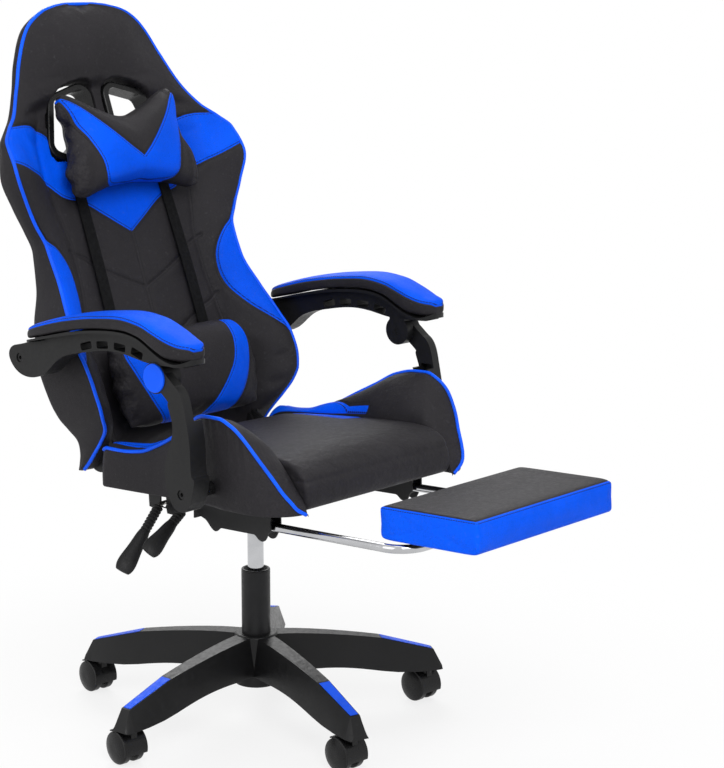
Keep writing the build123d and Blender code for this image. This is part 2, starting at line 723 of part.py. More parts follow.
with BuildPart() as footrest_board:
    with BuildSketch(rail_plane.offset(pad_lift - board_thickness)):
        with Locations((0, pad_middle)):
            RectangleRounded(2 * pad_half_width - 36, pad_length - 36, 12)
    extrude(amount=board_thickness)
save(footrest_board, "footrest_board")

with BuildPart() as footrest_clips:
    for clip_x in (-clip_positions / 2, clip_positions / 2):
        with BuildSketch(rail_side_plane(clip_x - clip_width / 2)):
            with Locations((bar_position, 0)):
                Circle(rail_radius + run_fit + clip_wall)
            with Locations((bar_position, (pad_lift - board_thickness - clip_wall) / 2 + 1.2)):
                Rectangle(30, 0.1 + clip_wall)
            with BuildLine():
                Polyline((bar_position - 15, pad_lift - board_thickness - 2.4),
                         (bar_position - 15, pad_lift - board_thickness),
                         (bar_position + 15, pad_lift - board_thickness),
                         (bar_position + 15, pad_lift - board_thickness - 2.4),
                         (bar_position - 15, pad_lift - board_thickness - 2.4))
            make_face()
            with Locations((bar_position, 0)):
                Circle(rail_radius + run_fit, mode=Mode.SUBTRACT)
        extrude(amount=clip_width)
save(footrest_clips, "footrest_clips")

with BuildPart() as footrest_pad:
    with BuildSketch(rail_plane.offset(pad_lift + soft_gap)):
        with Locations((0, pad_middle)):
            RectangleRounded(2 * pad_half_width, pad_length, 10)
    extrude(amount=pad_thickness)
    fillet(footrest_pad.faces().sort_by(Axis.Z)[-1].edges(), radius=9)
save(footrest_pad, "footrest_pad")


# ---------------------------------------------------------------- levers
def lever_end(root, direction, distance):
    """Point at a distance from a handle's root along its direction."""
    return root + direction.normalized() * distance


lift_root = Vector(-198, -30, 414)
lift_direction = Vector(-94, -19, -47)
lift_inner_x = 6.0
lift_bend_x = -118.0
lift_crossing = Vector(-150, -9, 417)  # where the rod has risen above the footrest's rail
recline_lever_y = 26.0
recline_level = 415.0
recline_root = Vector(-198, recline_lever_y, recline_level - 1.5)
recline_direction = Vector(-100, -20, -83)
recline_pin_x = -145.0
recline_inner_x = -131.0
lever_bend = 9.0
eye_radius = 6.5

with BuildPart() as lift_lever_rod:
    with BuildLine() as lift_path:
        FilletPolyline(
            Vector(lift_inner_x, 0, lift_rod_z),
            Vector(lift_bend_x, 0, lift_rod_z),
            lift_crossing,
            lift_root,
            lever_end(lift_root, lift_direction, lift_bellows_length - 8),
            radius=lever_bend,
        )
    with BuildSketch(Plane(origin=lift_path.line @ 0, z_dir=lift_path.line % 0)):
        Circle(lever_rod_radius)
    sweep(path=lift_path.line)
    with BuildSketch(Plane.XZ):
        with Locations((lift_pin_x, lift_rod_z)):
            Circle(eye_radius)
    extrude(amount=5, both=True)
    with BuildSketch(Plane.XZ):
        with Locations((lift_pin_x, lift_rod_z)):
            Circle(lever_pin_radius + run_fit)
    extrude(amount=6, both=True, mode=Mode.SUBTRACT)
save(lift_lever_rod, "lift_lever_rod")

with BuildPart() as lift_lever_pin:
    with BuildSketch(Plane.XZ):
        with Locations((lift_pin_x, lift_rod_z)):
            Circle(lever_pin_radius)
    extrude(amount=channel_half_width + 2, both=True)
save(lift_lever_pin, "lift_lever_pin")

with BuildPart() as recline_lever_rod:
    with BuildLine() as recline_path:
        FilletPolyline(
            Vector(recline_inner_x, recline_lever_y, recline_level),
            recline_root,
            lever_end(recline_root, recline_direction, recline_bellows_length - 8),
            radius=lever_bend,
        )
    with BuildSketch(Plane(origin=recline_path.line @ 0, z_dir=recline_path.line % 0)):
        Circle(lever_rod_radius)
    sweep(path=recline_path.line)
    with BuildSketch(Plane.XZ.offset(-recline_lever_y)):
        with Locations((recline_pin_x, recline_level)):
            Circle(eye_radius)
    extrude(amount=5, both=True)
    with BuildSketch(Plane.XZ.offset(-recline_lever_y)):
        with Locations((recline_pin_x, recline_level)):
            Circle(lever_pin_radius + run_fit)
    extrude(amount=6, both=True, mode=Mode.SUBTRACT)
save(recline_lever_rod, "recline_lever_rod")

ear_gap = 9.0
ear_wall = 3.0
with BuildPart() as recline_lever_pin:
    with BuildSketch(Plane.XZ.offset(-recline_lever_y)):
        with Locations((recline_pin_x, recline_level)):
            Circle(lever_pin_radius)
    extrude(amount=ear_gap + ear_wall + 2, both=True)
save(recline_lever_pin, "recline_lever_pin")

with BuildPart() as lever_bracket:
    with BuildSketch(seat_plane.offset(-ear_wall)):
        with Locations((-156, 27)):
            RectangleRounded(70, 74, 5)
    extrude(amount=ear_wall)
    for ear_y in (recline_lever_y - ear_gap - ear_wall, recline_lever_y + ear_gap):
        with BuildSketch(Plane.XZ.offset(-ear_y)):
            with Locations((recline_pin_x, recline_level)):
                Circle(8)
            with Locations((recline_pin_x, recline_level + 8)):
                Rectangle(16, 16)
            with Locations((recline_pin_x, recline_level)):
                Circle(lever_pin_radius + run_fit, mode=Mode.SUBTRACT)
        extrude(amount=-ear_wall)
    with BuildSketch(side_plane(-191)):
        Polygon((-9, seat_level(-9) - 1), (-9, 404), (2, 397), (17, 397), (19, 405), (40, 405),
                (46, 400), (60, 402), (62, seat_level(62) - 1), align=None)
        with Locations((recline_lever_y, recline_level + 2)):
            SlotOverall(22, 14, rotation=90, mode=Mode.SUBTRACT)
    extrude(amount=3)
save(lever_bracket, "lever_bracket")


def handle_plane(root, direction):
    """Plane across a handle: its x runs across the flat grip."""
    return Plane(origin=root, x_dir=direction.cross(Vector(0.70, 0.68, -0.19)), z_dir=direction)


lever_handles = (
    ("lift_lever_grip", lift_root, lift_direction, lift_bellows_length, lift_grip_length),
    ("recline_lever_grip", recline_root, recline_direction, recline_bellows_length, recline_grip_length),
)
for handle_label, handle_root, handle_direction, bellows_length, grip_length in lever_handles:
    root_plane = handle_plane(handle_root, handle_direction)
    neck_start = 6.0
    with BuildPart() as bellows:
        with BuildSketch(Plane.XZ):
            with BuildLine():
                ring_count = int((bellows_length - neck_start) / bellows_pitch)
                profile = [(lever_rod_radius + run_fit, neck_start)]
                for ring in range(ring_count):
                    ring_start = neck_start + ring * bellows_pitch
                    profile.append((bellows_radius - 2.4, ring_start))
                    profile.append((bellows_radius, ring_start + 0.30 * bellows_pitch))
                    profile.append((bellows_radius, ring_start + 0.62 * bellows_pitch))
                    profile.append((bellows_radius - 2.4, ring_start + 0.92 * bellows_pitch))
                profile.append((bellows_radius - 1.0, bellows_length))
                profile.append((lever_rod_radius + run_fit, bellows_length))
                Polyline(*profile, close=True)
            make_face()
        revolve(axis=Axis.Z)
    with BuildPart() as grip:
        for station, half_wide, half_thick in (
            (bellows_length - 4, bellows_radius, bellows_radius - 1.5),
            (bellows_length + 0.20 * grip_length, 0.36 * grip_width, 0.50 * grip_thickness),
            (bellows_length + 0.55 * grip_length, 0.45 * grip_width, 0.48 * grip_thickness),
            (bellows_length + 0.85 * grip_length, 0.50 * grip_width, 0.42 * grip_thickness),
            (bellows_length + grip_length, 0.38 * grip_width, 0.22 * grip_thickness),
        ):
            with BuildSketch(root_plane.offset(station)):
                Ellipse(half_wide, half_thick)
        loft()
        add(root_plane * bellows.part)
        with BuildSketch(root_plane.offset(-1)):
            Circle(lever_rod_radius + run_fit)
        extrude(amount=bellows_length - 6, mode=Mode.SUBTRACT)
    save(grip, handle_label)


# ---------------------------------------------------------------- armrests
arm_inner = arm_centre_x - arm_thickness / 2
arm_outer = arm_centre_x + arm_thickness / 2
arm_split = arm_centre_x + knuckle_split / 2
tray_half_width = 31.0
tray_thickness = 5.0
head_radius = 7.5
head_depth = 6.0
arm_top_points = [(196, 686), (117, 705), (36, 718), (-22, 721), (-60, 715), (-97, 697), (-120, 688), (-148, 686)]
pad_crown_points = [(178, 716), (106, 734), (36, 745), (-20, 750), (-65, 746), (-105, 733), (-140, 718)]
arm_tip = -164.0         # front end of an armrest, rounded as seen from above
post_neck_level = 594.0  # above this the post is its outer layer only
window_centres = [(76, 687, 16), (37, 693, 6), (-4, 694, -4), (-44, 689, -17)]

for side_name, side in side_signs:
    with BuildPart() as arm_frame:
        with BuildSketch(side_plane(side * (arm_centre_x - tray_half_width - 2))):
            with BuildLine():
                Spline((228, 679), *arm_top_points, (-168, 697), tangents=((-1, 0.2), (-0.7, 0.7)))
                Line((-168, 697), (-172, 691))
                low_tray = [(y, z - tray_thickness) for y, z in reversed(arm_top_points)]
                Spline((-172, 691), *low_tray, (228, 679 - tray_thickness), tangents=((0.5, -0.8), (1, -0.2)))
                Line((228, 679 - tray_thickness), (228, 679))
            make_face()
        extrude(amount=side * 2 * (tray_half_width + 2))
        with BuildSketch(Plane.XY.offset(600)):
            with Locations((side * arm_centre_x, (arm_tip + 226) / 2)):
                RectangleRounded(2 * tray_half_width, 226 - arm_tip, 28)
        extrude(amount=200, mode=Mode.INTERSECT)
        with BuildSketch(side_plane(side * arm_inner)):
            with BuildLine():
                web_top = [(y, z - tray_thickness / 2) for y, z in arm_top_points]
                Spline((254, 668), *web_top, tangents=((-1, 0.2), (-1, 0.1)))
                Line(web_top[-1], (-150, 679))
                Spline((-150, 679), (-110, 677), (-67, 677), (-25, 683), (20, 685), (89, 674),
                       (147, 655), (180, 629), (225, 617), (258, 628), (272, 652), (254, 668),
                       tangents=((1, -0.1), (-1, 0.2)))
            make_face()
        extrude(amount=side * arm_thickness)
        with BuildSketch(side_plane(side * (arm_inner - 1))):
            for window_y, window_z, window_turn in window_centres:
                with Locations(Location((window_y, window_z, 0), (0, 0, -window_turn))):
                    RectangleRounded(27, 12, 3)
        extrude(amount=side * (arm_thickness + 2), mode=Mode.SUBTRACT)
        with BuildSketch(side_plane(side * arm_inner)):
            with Locations((knuckle_y, knuckle_z)):
                Circle(knuckle_radius)
            with Locations((knuckle_y, knuckle_z + 14)):
                Rectangle(34, 26)
        extrude(amount=side * (arm_thickness / 2 - knuckle_split / 2))
        with BuildSketch(side_plane(side * arm_centre_x)):
            with Locations((knuckle_y, knuckle_z)):
                Circle(knuckle_radius + 1.0)
        extrude(amount=side * arm_thickness, mode=Mode.SUBTRACT)
        with BuildSketch(side_plane(side * (arm_inner - 1))):
            with Locations((knuckle_y, knuckle_z)):
                Circle(pivot_bolt_radius + loose_fit)
            with Locations((arm_pivot_y, arm_pivot_z)):
                Circle(pivot_bolt_radius + run_fit)
        extrude(amount=side * (arm_thickness + 2), mode=Mode.SUBTRACT)
        with BuildSketch(side_plane(side * (arm_outer - head_depth))):
            with Locations((arm_pivot_y, arm_pivot_z)):
                Circle(head_radius + 0.5)
        extrude(amount=side * (head_depth + 1), mode=Mode.SUBTRACT)
    save(arm_frame, f"arm_frame_{side_name}")

    with BuildPart() as arm_pad:
        with BuildSketch(side_plane(side * (arm_centre_x - pad_width / 2))):
            with BuildLine():
                pad_floor = [(y, z + soft_gap) for y, z in arm_top_points]
                Spline((228, 679 + soft_gap), *pad_floor, (-168, 697 + soft_gap), tangents=((-1, 0.2), (-0.7, 0.7)))
                Line((-168, 697 + soft_gap), (-167, 706))
                crown = list(reversed(pad_crown_points))
                Spline((-167, 706), *crown, (226, 697), tangents=((0.6, 1), (1, -0.4)))
                Line((226, 697), (228, 679 + soft_gap))
            make_face()
        extrude(amount=side * pad_width)
        crown_face = arm_pad.faces().sort_by(Axis.Z)[-1]
        fillet(crown_face.edges().filter_by(GeomType.BSPLINE), radius=8)
        with BuildSketch(Plane.XY.offset(600)):
            with Locations((side * arm_centre_x, (arm_tip + 226) / 2)):
                RectangleRounded(pad_width + 1, 226 - arm_tip, 31)
        extrude(amount=250, mode=Mode.INTERSECT)
    save(arm_pad, f"arm_pad_{side_name}")

    with BuildPart() as arm_post:
        with BuildSketch(side_plane(side * arm_outer)):
            with BuildLine():
                Spline((-128, 648), (-142, 634), (-152, 600), (-160, 555), (-164, 508), (-160, 466),
                       tangents=((-1, -0.5), (0.3, -1)))
                Spline((-160, 466), (-151, 453), (-140, 449), tangents=((0.4, -0.9), (1, 0)))
                Spline((-140, 449), (-114, 466), (-103, 503), (-112, 545), (-121, 590), (-112, 618), (-97, 634),
                       tangents=((1, 0), (0.8, 0.6)))
                Line((-97, 634), (knuckle_y - 6, knuckle_z + knuckle_radius - 2))
                Line((knuckle_y - 6, knuckle_z + knuckle_radius - 2), (-128, 648))
            make_face()
            with Locations((knuckle_y, knuckle_z)):
                Circle(knuckle_radius)
        extrude(amount=-side * arm_thickness)
        with BuildSketch(side_plane(side * (arm_inner - 1))):
            with Locations((knuckle_y, post_neck_level + 50)):
                Rectangle(260, 100)
        extrude(amount=side * (arm_split - arm_inner + 1), mode=Mode.SUBTRACT)
        with BuildSketch(side_plane(side * (arm_inner - 1))):
            with BuildLine():
                Polyline((-148, 600), (-125, 600))
                Spline((-125, 600), (-119, 545), (-110, 503), (-119, 470), (-140, 456),
                       tangents=((0, -1), (-1, 0)))
                Spline((-140, 456), (-149, 459), (-156, 470), tangents=((-1, 0), (-0.4, 1)))
                Spline((-156, 470), (-160, 508), (-156, 555), (-148, 600), tangents=((-0.2, 1), (0.2, 1)))
            make_face()
            with Locations((post_pivot_y, post_pivot_z)):
                Circle(13, mode=Mode.SUBTRACT)
        extrude(amount=side * (arm_thickness - arm_wall + 1), mode=Mode.SUBTRACT)
        with BuildSketch(side_plane(side * (arm_inner - 1))):
            with Locations((post_pivot_y, post_pivot_z), (knuckle_y, knuckle_z)):
                Circle(pivot_bolt_radius + run_fit)
        extrude(amount=side * (arm_thickness + 2), mode=Mode.SUBTRACT)
        with BuildSketch(side_plane(side * (arm_outer - head_depth))):
            with Locations((post_pivot_y, post_pivot_z)):
                Circle(head_radius + 0.5)
        extrude(amount=side * (head_depth + 1), mode=Mode.SUBTRACT)
    save(arm_post, f"arm_post_{side_name}")

    with BuildPart() as knuckle_pin:
        with BuildSketch(side_plane(side * (arm_inner + 1))):
            with Locations((knuckle_y, knuckle_z)):
                Circle(pivot_bolt_radius)
        extrude(amount=side * (arm_thickness - 1))
        with BuildSketch(side_plane(side * arm_outer)):
            with Locations((knuckle_y, knuckle_z)):
                Circle(knuckle_radius - 2)
        extrude(amount=side * 3)
        cap_face = knuckle_pin.faces().filter_by(Axis.X).sort_by(Axis.X)[0 if side < 0 else -1]
        fillet(cap_face.edges(), radius=1.2)
    save(knuckle_pin, f"knuckle_pin_{side_name}")

with BuildPart() as post_bolts:
    for side_name, side in side_signs:
        with BuildSketch(side_plane(side * side_plate_inner)):
            with Locations((post_pivot_y, post_pivot_z)):
                Circle(pivot_bolt_radius)
        extrude(amount=side * (arm_outer - head_depth + 1 - side_plate_inner))
        with BuildSketch(side_plane(side * (side_plate_outer + 0.1))):
            with Locations((post_pivot_y, post_pivot_z)):
                Circle(spacer_radius)
        extrude(amount=side * (arm_inner - side_plate_outer - 0.3))
        with BuildSketch(side_plane(side * (arm_outer - head_depth + 0.1))):
            with Locations((post_pivot_y, post_pivot_z)):
                Circle(head_radius)
                RegularPolygon(radius=3.6, side_count=6, mode=Mode.SUBTRACT)
        extrude(amount=side * 4)
save(post_bolts, "post_bolts")


# ---------------------------------------------------------------- back frame
frame_path_points = [(195, 35), (195, 330), (215, 480), (150, 655), (90, 738), (0, 738)]
frame_bend = 45.0
cross_bars = [60.0, 330.0]
cross_bar_height = 30.0
bar_thickness = 3.0
arm_boss_outer = 212.0
arm_boss_radius = 9.5
plate_arm_outline = [(0, -31), (60, -16), (112, -8), (112, 24), (60, 28), (0, 31)]
back_up = back_section_plane(0).z_dir


def frame_tube(radius):
    """Both halves of the back's bent tube, at a radius."""
    with BuildPart() as tube:
        for side in (1, -1):
            with BuildLine(back_face_plane(frame_plane)) as half_frame:
                FilletPolyline(*[(side * x, along) for x, along in frame_path_points], radius=frame_bend)
            with BuildSketch(Plane(origin=half_frame.line @ 0, z_dir=half_frame.line % 0)):
                Circle(radius)
            sweep(path=half_frame.line)
    return tube.part


with BuildPart() as back_frame:
    add(frame_tube(frame_tube_radius))
    with BuildSketch(back_face_plane(0)):
        for bar_along in cross_bars:
            with Locations((0, bar_along)):
                Rectangle(2 * frame_half_width, cross_bar_height)
    extrude(amount=bar_thickness)
    for side_name, side in side_signs:
        with BuildSketch(side_plane(side * back_plate_inner)):
            with Locations((recline_y, recline_z)):
                Circle(recliner_radius)
            foot = Vector(recline_y, recline_z)
            rise = Vector(back_up.Y, back_up.Z)
            ahead = Vector(-back_up.Z, back_up.Y)
            Polygon(*[foot + rise * along + ahead * forward for along, forward in plate_arm_outline], align=None)
        extrude(amount=side * back_plate_thickness)
        with BuildSketch(side_plane(side * (frame_half_width + 2))):
            with Locations((arm_pivot_y, arm_pivot_z)):
                Circle(arm_boss_radius)
        extrude(amount=side * (arm_boss_outer - frame_half_width - 2))
        with BuildSketch(side_plane(side * (back_plate_inner - 1))):
            with Locations((recline_y, recline_z)):
                Circle(recliner_pin_radius + run_fit)
            with Locations((arm_pivot_y, arm_pivot_z)):
                Circle(pivot_bolt_radius + run_fit)
        extrude(amount=side * 40, mode=Mode.SUBTRACT)
save(back_frame, "back_frame")

with BuildPart() as arm_bolts:
    for side_name, side in side_signs:
        with BuildSketch(side_plane(side * (frame_half_width - 6))):
            with Locations((arm_pivot_y, arm_pivot_z)):
                Circle(pivot_bolt_radius)
        extrude(amount=side * (arm_outer - head_depth + 1 - frame_half_width + 6))
        with BuildSketch(side_plane(side * (arm_boss_outer + 0.1))):
            with Locations((arm_pivot_y, arm_pivot_z)):
                Circle(spacer_radius)
        extrude(amount=side * (arm_inner - arm_boss_outer - 0.3))
        with BuildSketch(side_plane(side * (arm_outer - head_depth + 0.1))):
            with Locations((arm_pivot_y, arm_pivot_z)):
                Circle(head_radius)
                RegularPolygon(radius=3.6, side_count=6, mode=Mode.SUBTRACT)
        extrude(amount=side * 4)
save(arm_bolts, "arm_bolts")


# ---------------------------------------------------------------- back cushion
# the outer edge, as (x, along the back)
back_edge = [(240, 30), (251, 100), (247, 170), (233, 235), (228, 300), (229, 356), (259, 432), (274, 485),
             (266, 534), (224, 590), (195, 640), (166, 691), (136, 745), (92, 780)]
# the foot of the side bolsters, round the middle panel
panel_edge = [(148, -30), (164, 80), (164, 170), (156, 235), (148, 300), (148, 356), (163, 432), (172, 485),
              (168, 534), (146, 590), (124, 640), (88, 690)]
# side views, as (forward, along the back)
bolster_crest = [(44, 20), (92, 80), (101, 122), (88, 170), (64, 235), (46, 300), (42, 356), (60, 432), (74, 485),
                 (64, 534), (42, 590), (32, 640), (29, 691), (36, 745)]
back_rear = [(-5, 775), (-10, 700), (-8, 620), (-6, 534), (-12, 432), (-22, 356), (-36, 300), (-42, 235), (-40, 170),
             (-36, 100), (-27, 30)]
back_bottom = -20.0
back_top = 795.0
bolster_slope = 33.0
opening_outline = [(26, 640), (104, 618), (130, 532), (104, 520), (26, 572)]
opening_corner = 14.0
grommet_wall = 12.0
grommet_rear = -9.0
grommet_front = 22.0
grommet_lip = 3.5
grommet_axis = back_face_plane(0).z_dir


def back_side_plane(x):
    """Plane across the chair at x: its own x runs forward from the back and its y runs up the back."""
    return Plane(origin=(x, recline_y, recline_z), x_dir=back_face_plane(0).z_dir, z_dir=(-1, 0, 0))


def opening_face(side, margin):
    """Outline of one belt opening, grown by a margin."""
    with BuildSketch() as outline:
        Polygon(*[(side * x, along) for x, along in opening_outline], align=None)
        fillet(outline.vertices(), radius=opening_corner)
        if margin > 0:
            offset(amount=margin)
    return outline.sketch


with BuildPart() as back_cushion:
    # bolsters, with the middle cut down to the panel
    with BuildSketch(back_side_plane(300)):
        with BuildLine():
            Line((-16, back_bottom), (14, back_bottom))
            Spline((14, back_bottom), *bolster_crest, (33, back_top + 10), tangents=((1, 0.6), (-0.5, 1)))
            Line((33, back_top + 10), (0, back_top + 10))
            Spline((0, back_top + 10), *back_rear, (-16, back_bottom), tangents=((-0.1, -1), (0.5, -1)))
        make_face()
    extrude(amount=600)
    with BuildSketch(back_face_plane(panel_front)):
        Polygon(*panel_edge, *[(-x, along) for x, along in reversed(panel_edge)], align=None)
    extrude(amount=100, taper=-bolster_slope, mode=Mode.SUBTRACT)
    with BuildSketch(back_face_plane(-100)):
        with BuildLine():
            left_edge = [(-x, along) for x, along in back_edge]
            Line((-226, back_bottom), (226, back_bottom))
            Spline((226, back_bottom), *back_edge, (0, back_top), tangents=((0.4, 1), (-1, 0)))
            Spline((0, back_top), *reversed(left_edge), (-226, back_bottom), tangents=((-1, 0), (0.4, -1)))
        make_face()
    extrude(amount=300, mode=Mode.INTERSECT)
    add(frame_tube(frame_tube_radius + soft_gap), mode=Mode.SUBTRACT)
    with BuildSketch(back_face_plane(-soft_gap)):
        for bar_along in cross_bars:
            with Locations((0, bar_along)):
                Rectangle(2 * frame_half_width, cross_bar_height + 2 * soft_gap)
    extrude(amount=bar_thickness + 2 * soft_gap, mode=Mode.SUBTRACT)
    for side_name, side in side_signs:
        with BuildSketch(back_face_plane(-50)):
            with Locations((side * 175.5, 52)):
                Rectangle(31, 146)
        extrude(amount=96, mode=Mode.SUBTRACT)
        with BuildSketch(side_plane(side * frame_half_width)):
            with Locations((arm_pivot_y, arm_pivot_z)):
                Circle(spacer_radius + soft_gap)
        extrude(amount=side * 90, mode=Mode.SUBTRACT)
        with BuildSketch(back_face_plane(-60)):
            add(opening_face(side, grommet_wall + soft_gap))
        extrude(amount=120, mode=Mode.SUBTRACT)
save(back_cushion, "back_cushion")

for side_name, side in side_signs:
    with BuildPart() as grommet:
        with BuildSketch(back_face_plane(grommet_rear)):
            add(opening_face(side, grommet_wall))
        extrude(amount=grommet_front - grommet_rear)
        fillet(grommet.faces().sort_by(Axis((0, 0, 0), grommet_axis))[-1].edges(), radius=grommet_lip)
        with BuildSketch(back_face_plane(grommet_rear - 1)):
            add(opening_face(side, 0))
        extrude(amount=grommet_front - grommet_rear + 2, mode=Mode.SUBTRACT)
    save(grommet, f"belt_grommet_{side_name}")


# ---------------------------------------------------------------- pillows and straps
strap_width = 24.0
strap_thickness = 2.0
strap_front = panel_front + soft_gap + strap_thickness
pillow_rear = strap_front + soft_gap

with BuildPart() as pillow_straps:
    for side_name, side in side_signs:
        with BuildSketch(back_face_plane(panel_front + soft_gap)):
            with BuildLine():
                Polyline((side * 97, 60), (side * 121, 60), (side * 112, 470), (side * 88, 470), close=True)
            make_face()
        extrude(amount=strap_thickness)
save(pillow_straps, "pillow_straps")

lumbar_centre = 105.0
lumbar_half_height = 86.0
lumbar_half_depth = 42.0
lumbar_stations = [(-168, 0.50), (-160, 0.74), (-140, 0.92), (-80, 1.0), (80, 1.0), (140, 0.92), (160, 0.74), (168, 0.50)]
with BuildPart() as lumbar_pillow:
    for station_x, share in lumbar_stations:
        middle = back_face_plane(pillow_rear + lumbar_half_depth + 0.1)
        centre = middle.from_local_coords((station_x, lumbar_centre, 0))
        with BuildSketch(Plane(origin=centre, x_dir=back_up, z_dir=(1, 0, 0))):
            Ellipse(share * lumbar_half_height, share * lumbar_half_depth)
    loft()
save(lumbar_pillow, "lumbar_pillow")

head_depth_stations = [(pillow_rear, 0.90), (pillow_rear + 14, 0.985), (pillow_rear + 34, 1.0),
                       (pillow_rear + 52, 0.95), (pillow_rear + 66, 0.82)]
head_centre = 512.0
head_outline = [(0, 59), (70, 74), (128, 101), (150, 92), (152, 40), (154, -20), (157, -62), (128, -80), (60, -66),
                (0, -66)]
with BuildPart() as head_pillow:
    for station, share in head_depth_stations:
        right_side = [(share * x, head_centre + share * up) for x, up in head_outline]
        left_side = [(-x, up) for x, up in reversed(right_side[1:-1])]
        with BuildSketch(back_face_plane(station)):
            with BuildLine():
                Spline(*right_side, *left_side, periodic=True)
            make_face()
    loft()
save(head_pillow, "head_pillow")
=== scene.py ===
"""Looks of a gaming chair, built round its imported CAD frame."""
import logging
import math
from dataclasses import dataclass
from enum import Enum
from typing import Any, Sequence

import bmesh
import bpy
import numpy as np
from mathutils import Matrix, Vector


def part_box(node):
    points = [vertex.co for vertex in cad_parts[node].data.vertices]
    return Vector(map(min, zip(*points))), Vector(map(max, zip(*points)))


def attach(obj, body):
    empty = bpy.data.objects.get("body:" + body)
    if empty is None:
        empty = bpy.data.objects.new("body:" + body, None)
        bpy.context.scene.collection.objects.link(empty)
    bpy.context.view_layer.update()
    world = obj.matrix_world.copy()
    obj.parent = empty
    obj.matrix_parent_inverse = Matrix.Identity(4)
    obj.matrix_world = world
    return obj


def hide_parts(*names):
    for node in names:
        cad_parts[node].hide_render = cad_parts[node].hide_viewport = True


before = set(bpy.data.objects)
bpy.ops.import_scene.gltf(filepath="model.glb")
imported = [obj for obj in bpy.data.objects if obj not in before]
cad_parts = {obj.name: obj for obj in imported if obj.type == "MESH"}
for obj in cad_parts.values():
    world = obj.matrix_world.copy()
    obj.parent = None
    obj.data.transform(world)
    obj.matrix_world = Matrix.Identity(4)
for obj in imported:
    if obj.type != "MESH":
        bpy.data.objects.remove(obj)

logging.basicConfig(level=logging.INFO, format="%(message)s")
LOG = logging.getLogger("chair")
MM = 0.001
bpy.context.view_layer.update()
SIDES = ((1, "left"), (-1, "right"))
FAR = 60.0
OFF_BLUE = -30.0
Socket = bpy.types.NodeSocket
Colour = tuple[float, float, float]


# ---------------------------------------------------------------- numbers and curves
def table(rows: Sequence[tuple[float, ...]], at: np.ndarray, column: int) -> np.ndarray:
    """Reads a table smoothly.

    Args:
        rows: rows of numbers whose first column is the place along the piece.
        at: places to read.
        column: which column to read.

    Returns:
        The column's value at each place, on a monotone cubic curve through the rows.
    """
    data = np.array(rows, float)
    x, y = data[:, 0], data[:, column]
    step = np.diff(x)
    slope = np.diff(y) / step
    tangent = np.zeros_like(x)
    same = slope[1:] * slope[:-1] > 0
    inner = np.where(same, 2 * slope[1:] * slope[:-1] / np.where(same, slope[1:] + slope[:-1], 1), 0)
    tangent[1:-1] = inner
    tangent[0], tangent[-1] = slope[0], slope[-1]
    spot = np.clip(np.searchsorted(x, at) - 1, 0, len(step) - 1)
    h = step[spot]
    t = np.clip((at - x[spot]) / h, 0, 1)
    return (
        (2 * t**3 - 3 * t**2 + 1) * y[spot]
        + (t**3 - 2 * t**2 + t) * h * tangent[spot]
        + (3 * t**2 - 2 * t**3) * y[spot + 1]
        + (t**3 - t**2) * h * tangent[spot + 1]
    )


def smooth(t: np.ndarray) -> np.ndarray:
    """Rises from 0 to 1 without a corner at either end."""
    t = np.clip(t, 0, 1)
    return t * t * (3 - 2 * t)


def steps(count: int, first: int = 1) -> np.ndarray:
    """One row of even steps from 0 to 1, without those before the first."""
    return np.linspace(0, 1, count)[None, first:]


def curve(points: Sequence[tuple[float, ...]], count: int, closed: bool = False) -> np.ndarray:
    """Catmull-Rom curve through points, resampled to even steps.

    Args:
        points: points to pass through.
        count: how many points to return.
        closed: whether the curve returns to its first point.

    Returns:
        count points, evenly spaced along the curve.
    """
    p = np.array(points, float)
    p = np.vstack([p[-1:], p, p[:2]]) if closed else np.vstack([2 * p[0] - p[1], p, 2 * p[-1] - p[-2]])
    t = np.linspace(0, 1, 24, endpoint=False)[:, None, None]
    a, b, c, d = p[:-3], p[1:-2], p[2:-1], p[3:]
    fine = 0.5 * (2 * b + (c - a) * t + (2 * a - 5 * b + 4 * c - d) * t**2 + (3 * b - a - 3 * c + d) * t**3)
    fine = fine.transpose(1, 0, 2).reshape(-1, p.shape[1])
    fine = np.vstack([fine, fine[:1] if closed else p[-2:-1]])
    length = np.concatenate([[0], np.cumsum(np.linalg.norm(np.diff(fine, axis=0), axis=1))])
    at = np.linspace(0, length[-1], count, endpoint=not closed)
    return np.stack([np.interp(at, length, fine[:, k]) for k in range(p.shape[1])], axis=1)


def distance_to_line(points: np.ndarray, line: np.ndarray) -> tuple[np.ndarray, np.ndarray]:
    """Finds the nearest place on a polyline.

    Args:
        points: 2-D points.
        line: the polyline's 2-D points.

    Returns:
        Each point's distance to the line, and the length along it of the nearest place.
    """
    best = np.full(len(points), 1e9)
    along = np.zeros(len(points))
    start = 0.0
    for a, b in zip(line[:-1], line[1:]):
        leg = b - a
        size = float(np.hypot(*leg)) or 1e-9
        t = np.clip((points - a) @ leg / size**2, 0, 1)
        gap = np.linalg.norm(points - a - t[:, None] * leg, axis=1)
        nearer = gap < best
        along[nearer] = start + t[nearer] * size
        best = np.minimum(best, gap)
        start += size
    return best, along


def inside_depth(points: np.ndarray, outline: np.ndarray) -> np.ndarray:
    """Measures how deep points lie in a closed outline, with the even-odd rule for the sign.

    Args:
        points: 2-D points.
        outline: the outline's 2-D points.

    Returns:
        Distance to the outline, positive inside it and negative outside.
    """
    ring = np.vstack([outline, outline[:1]])
    gap, _ = distance_to_line(points, ring)
    x, y = points[:, 0], points[:, 1]
    crossings = np.zeros(len(points), int)
    for a, b in zip(ring[:-1], ring[1:]):
        spans = (a[1] > y) != (b[1] > y)
        rise = b[1] - a[1] if b[1] != a[1] else 1e-12
        crossings += spans & (x < (b[0] - a[0]) * (y - a[1]) / rise + a[0])
    return np.where(crossings % 2 == 1, gap, -gap)


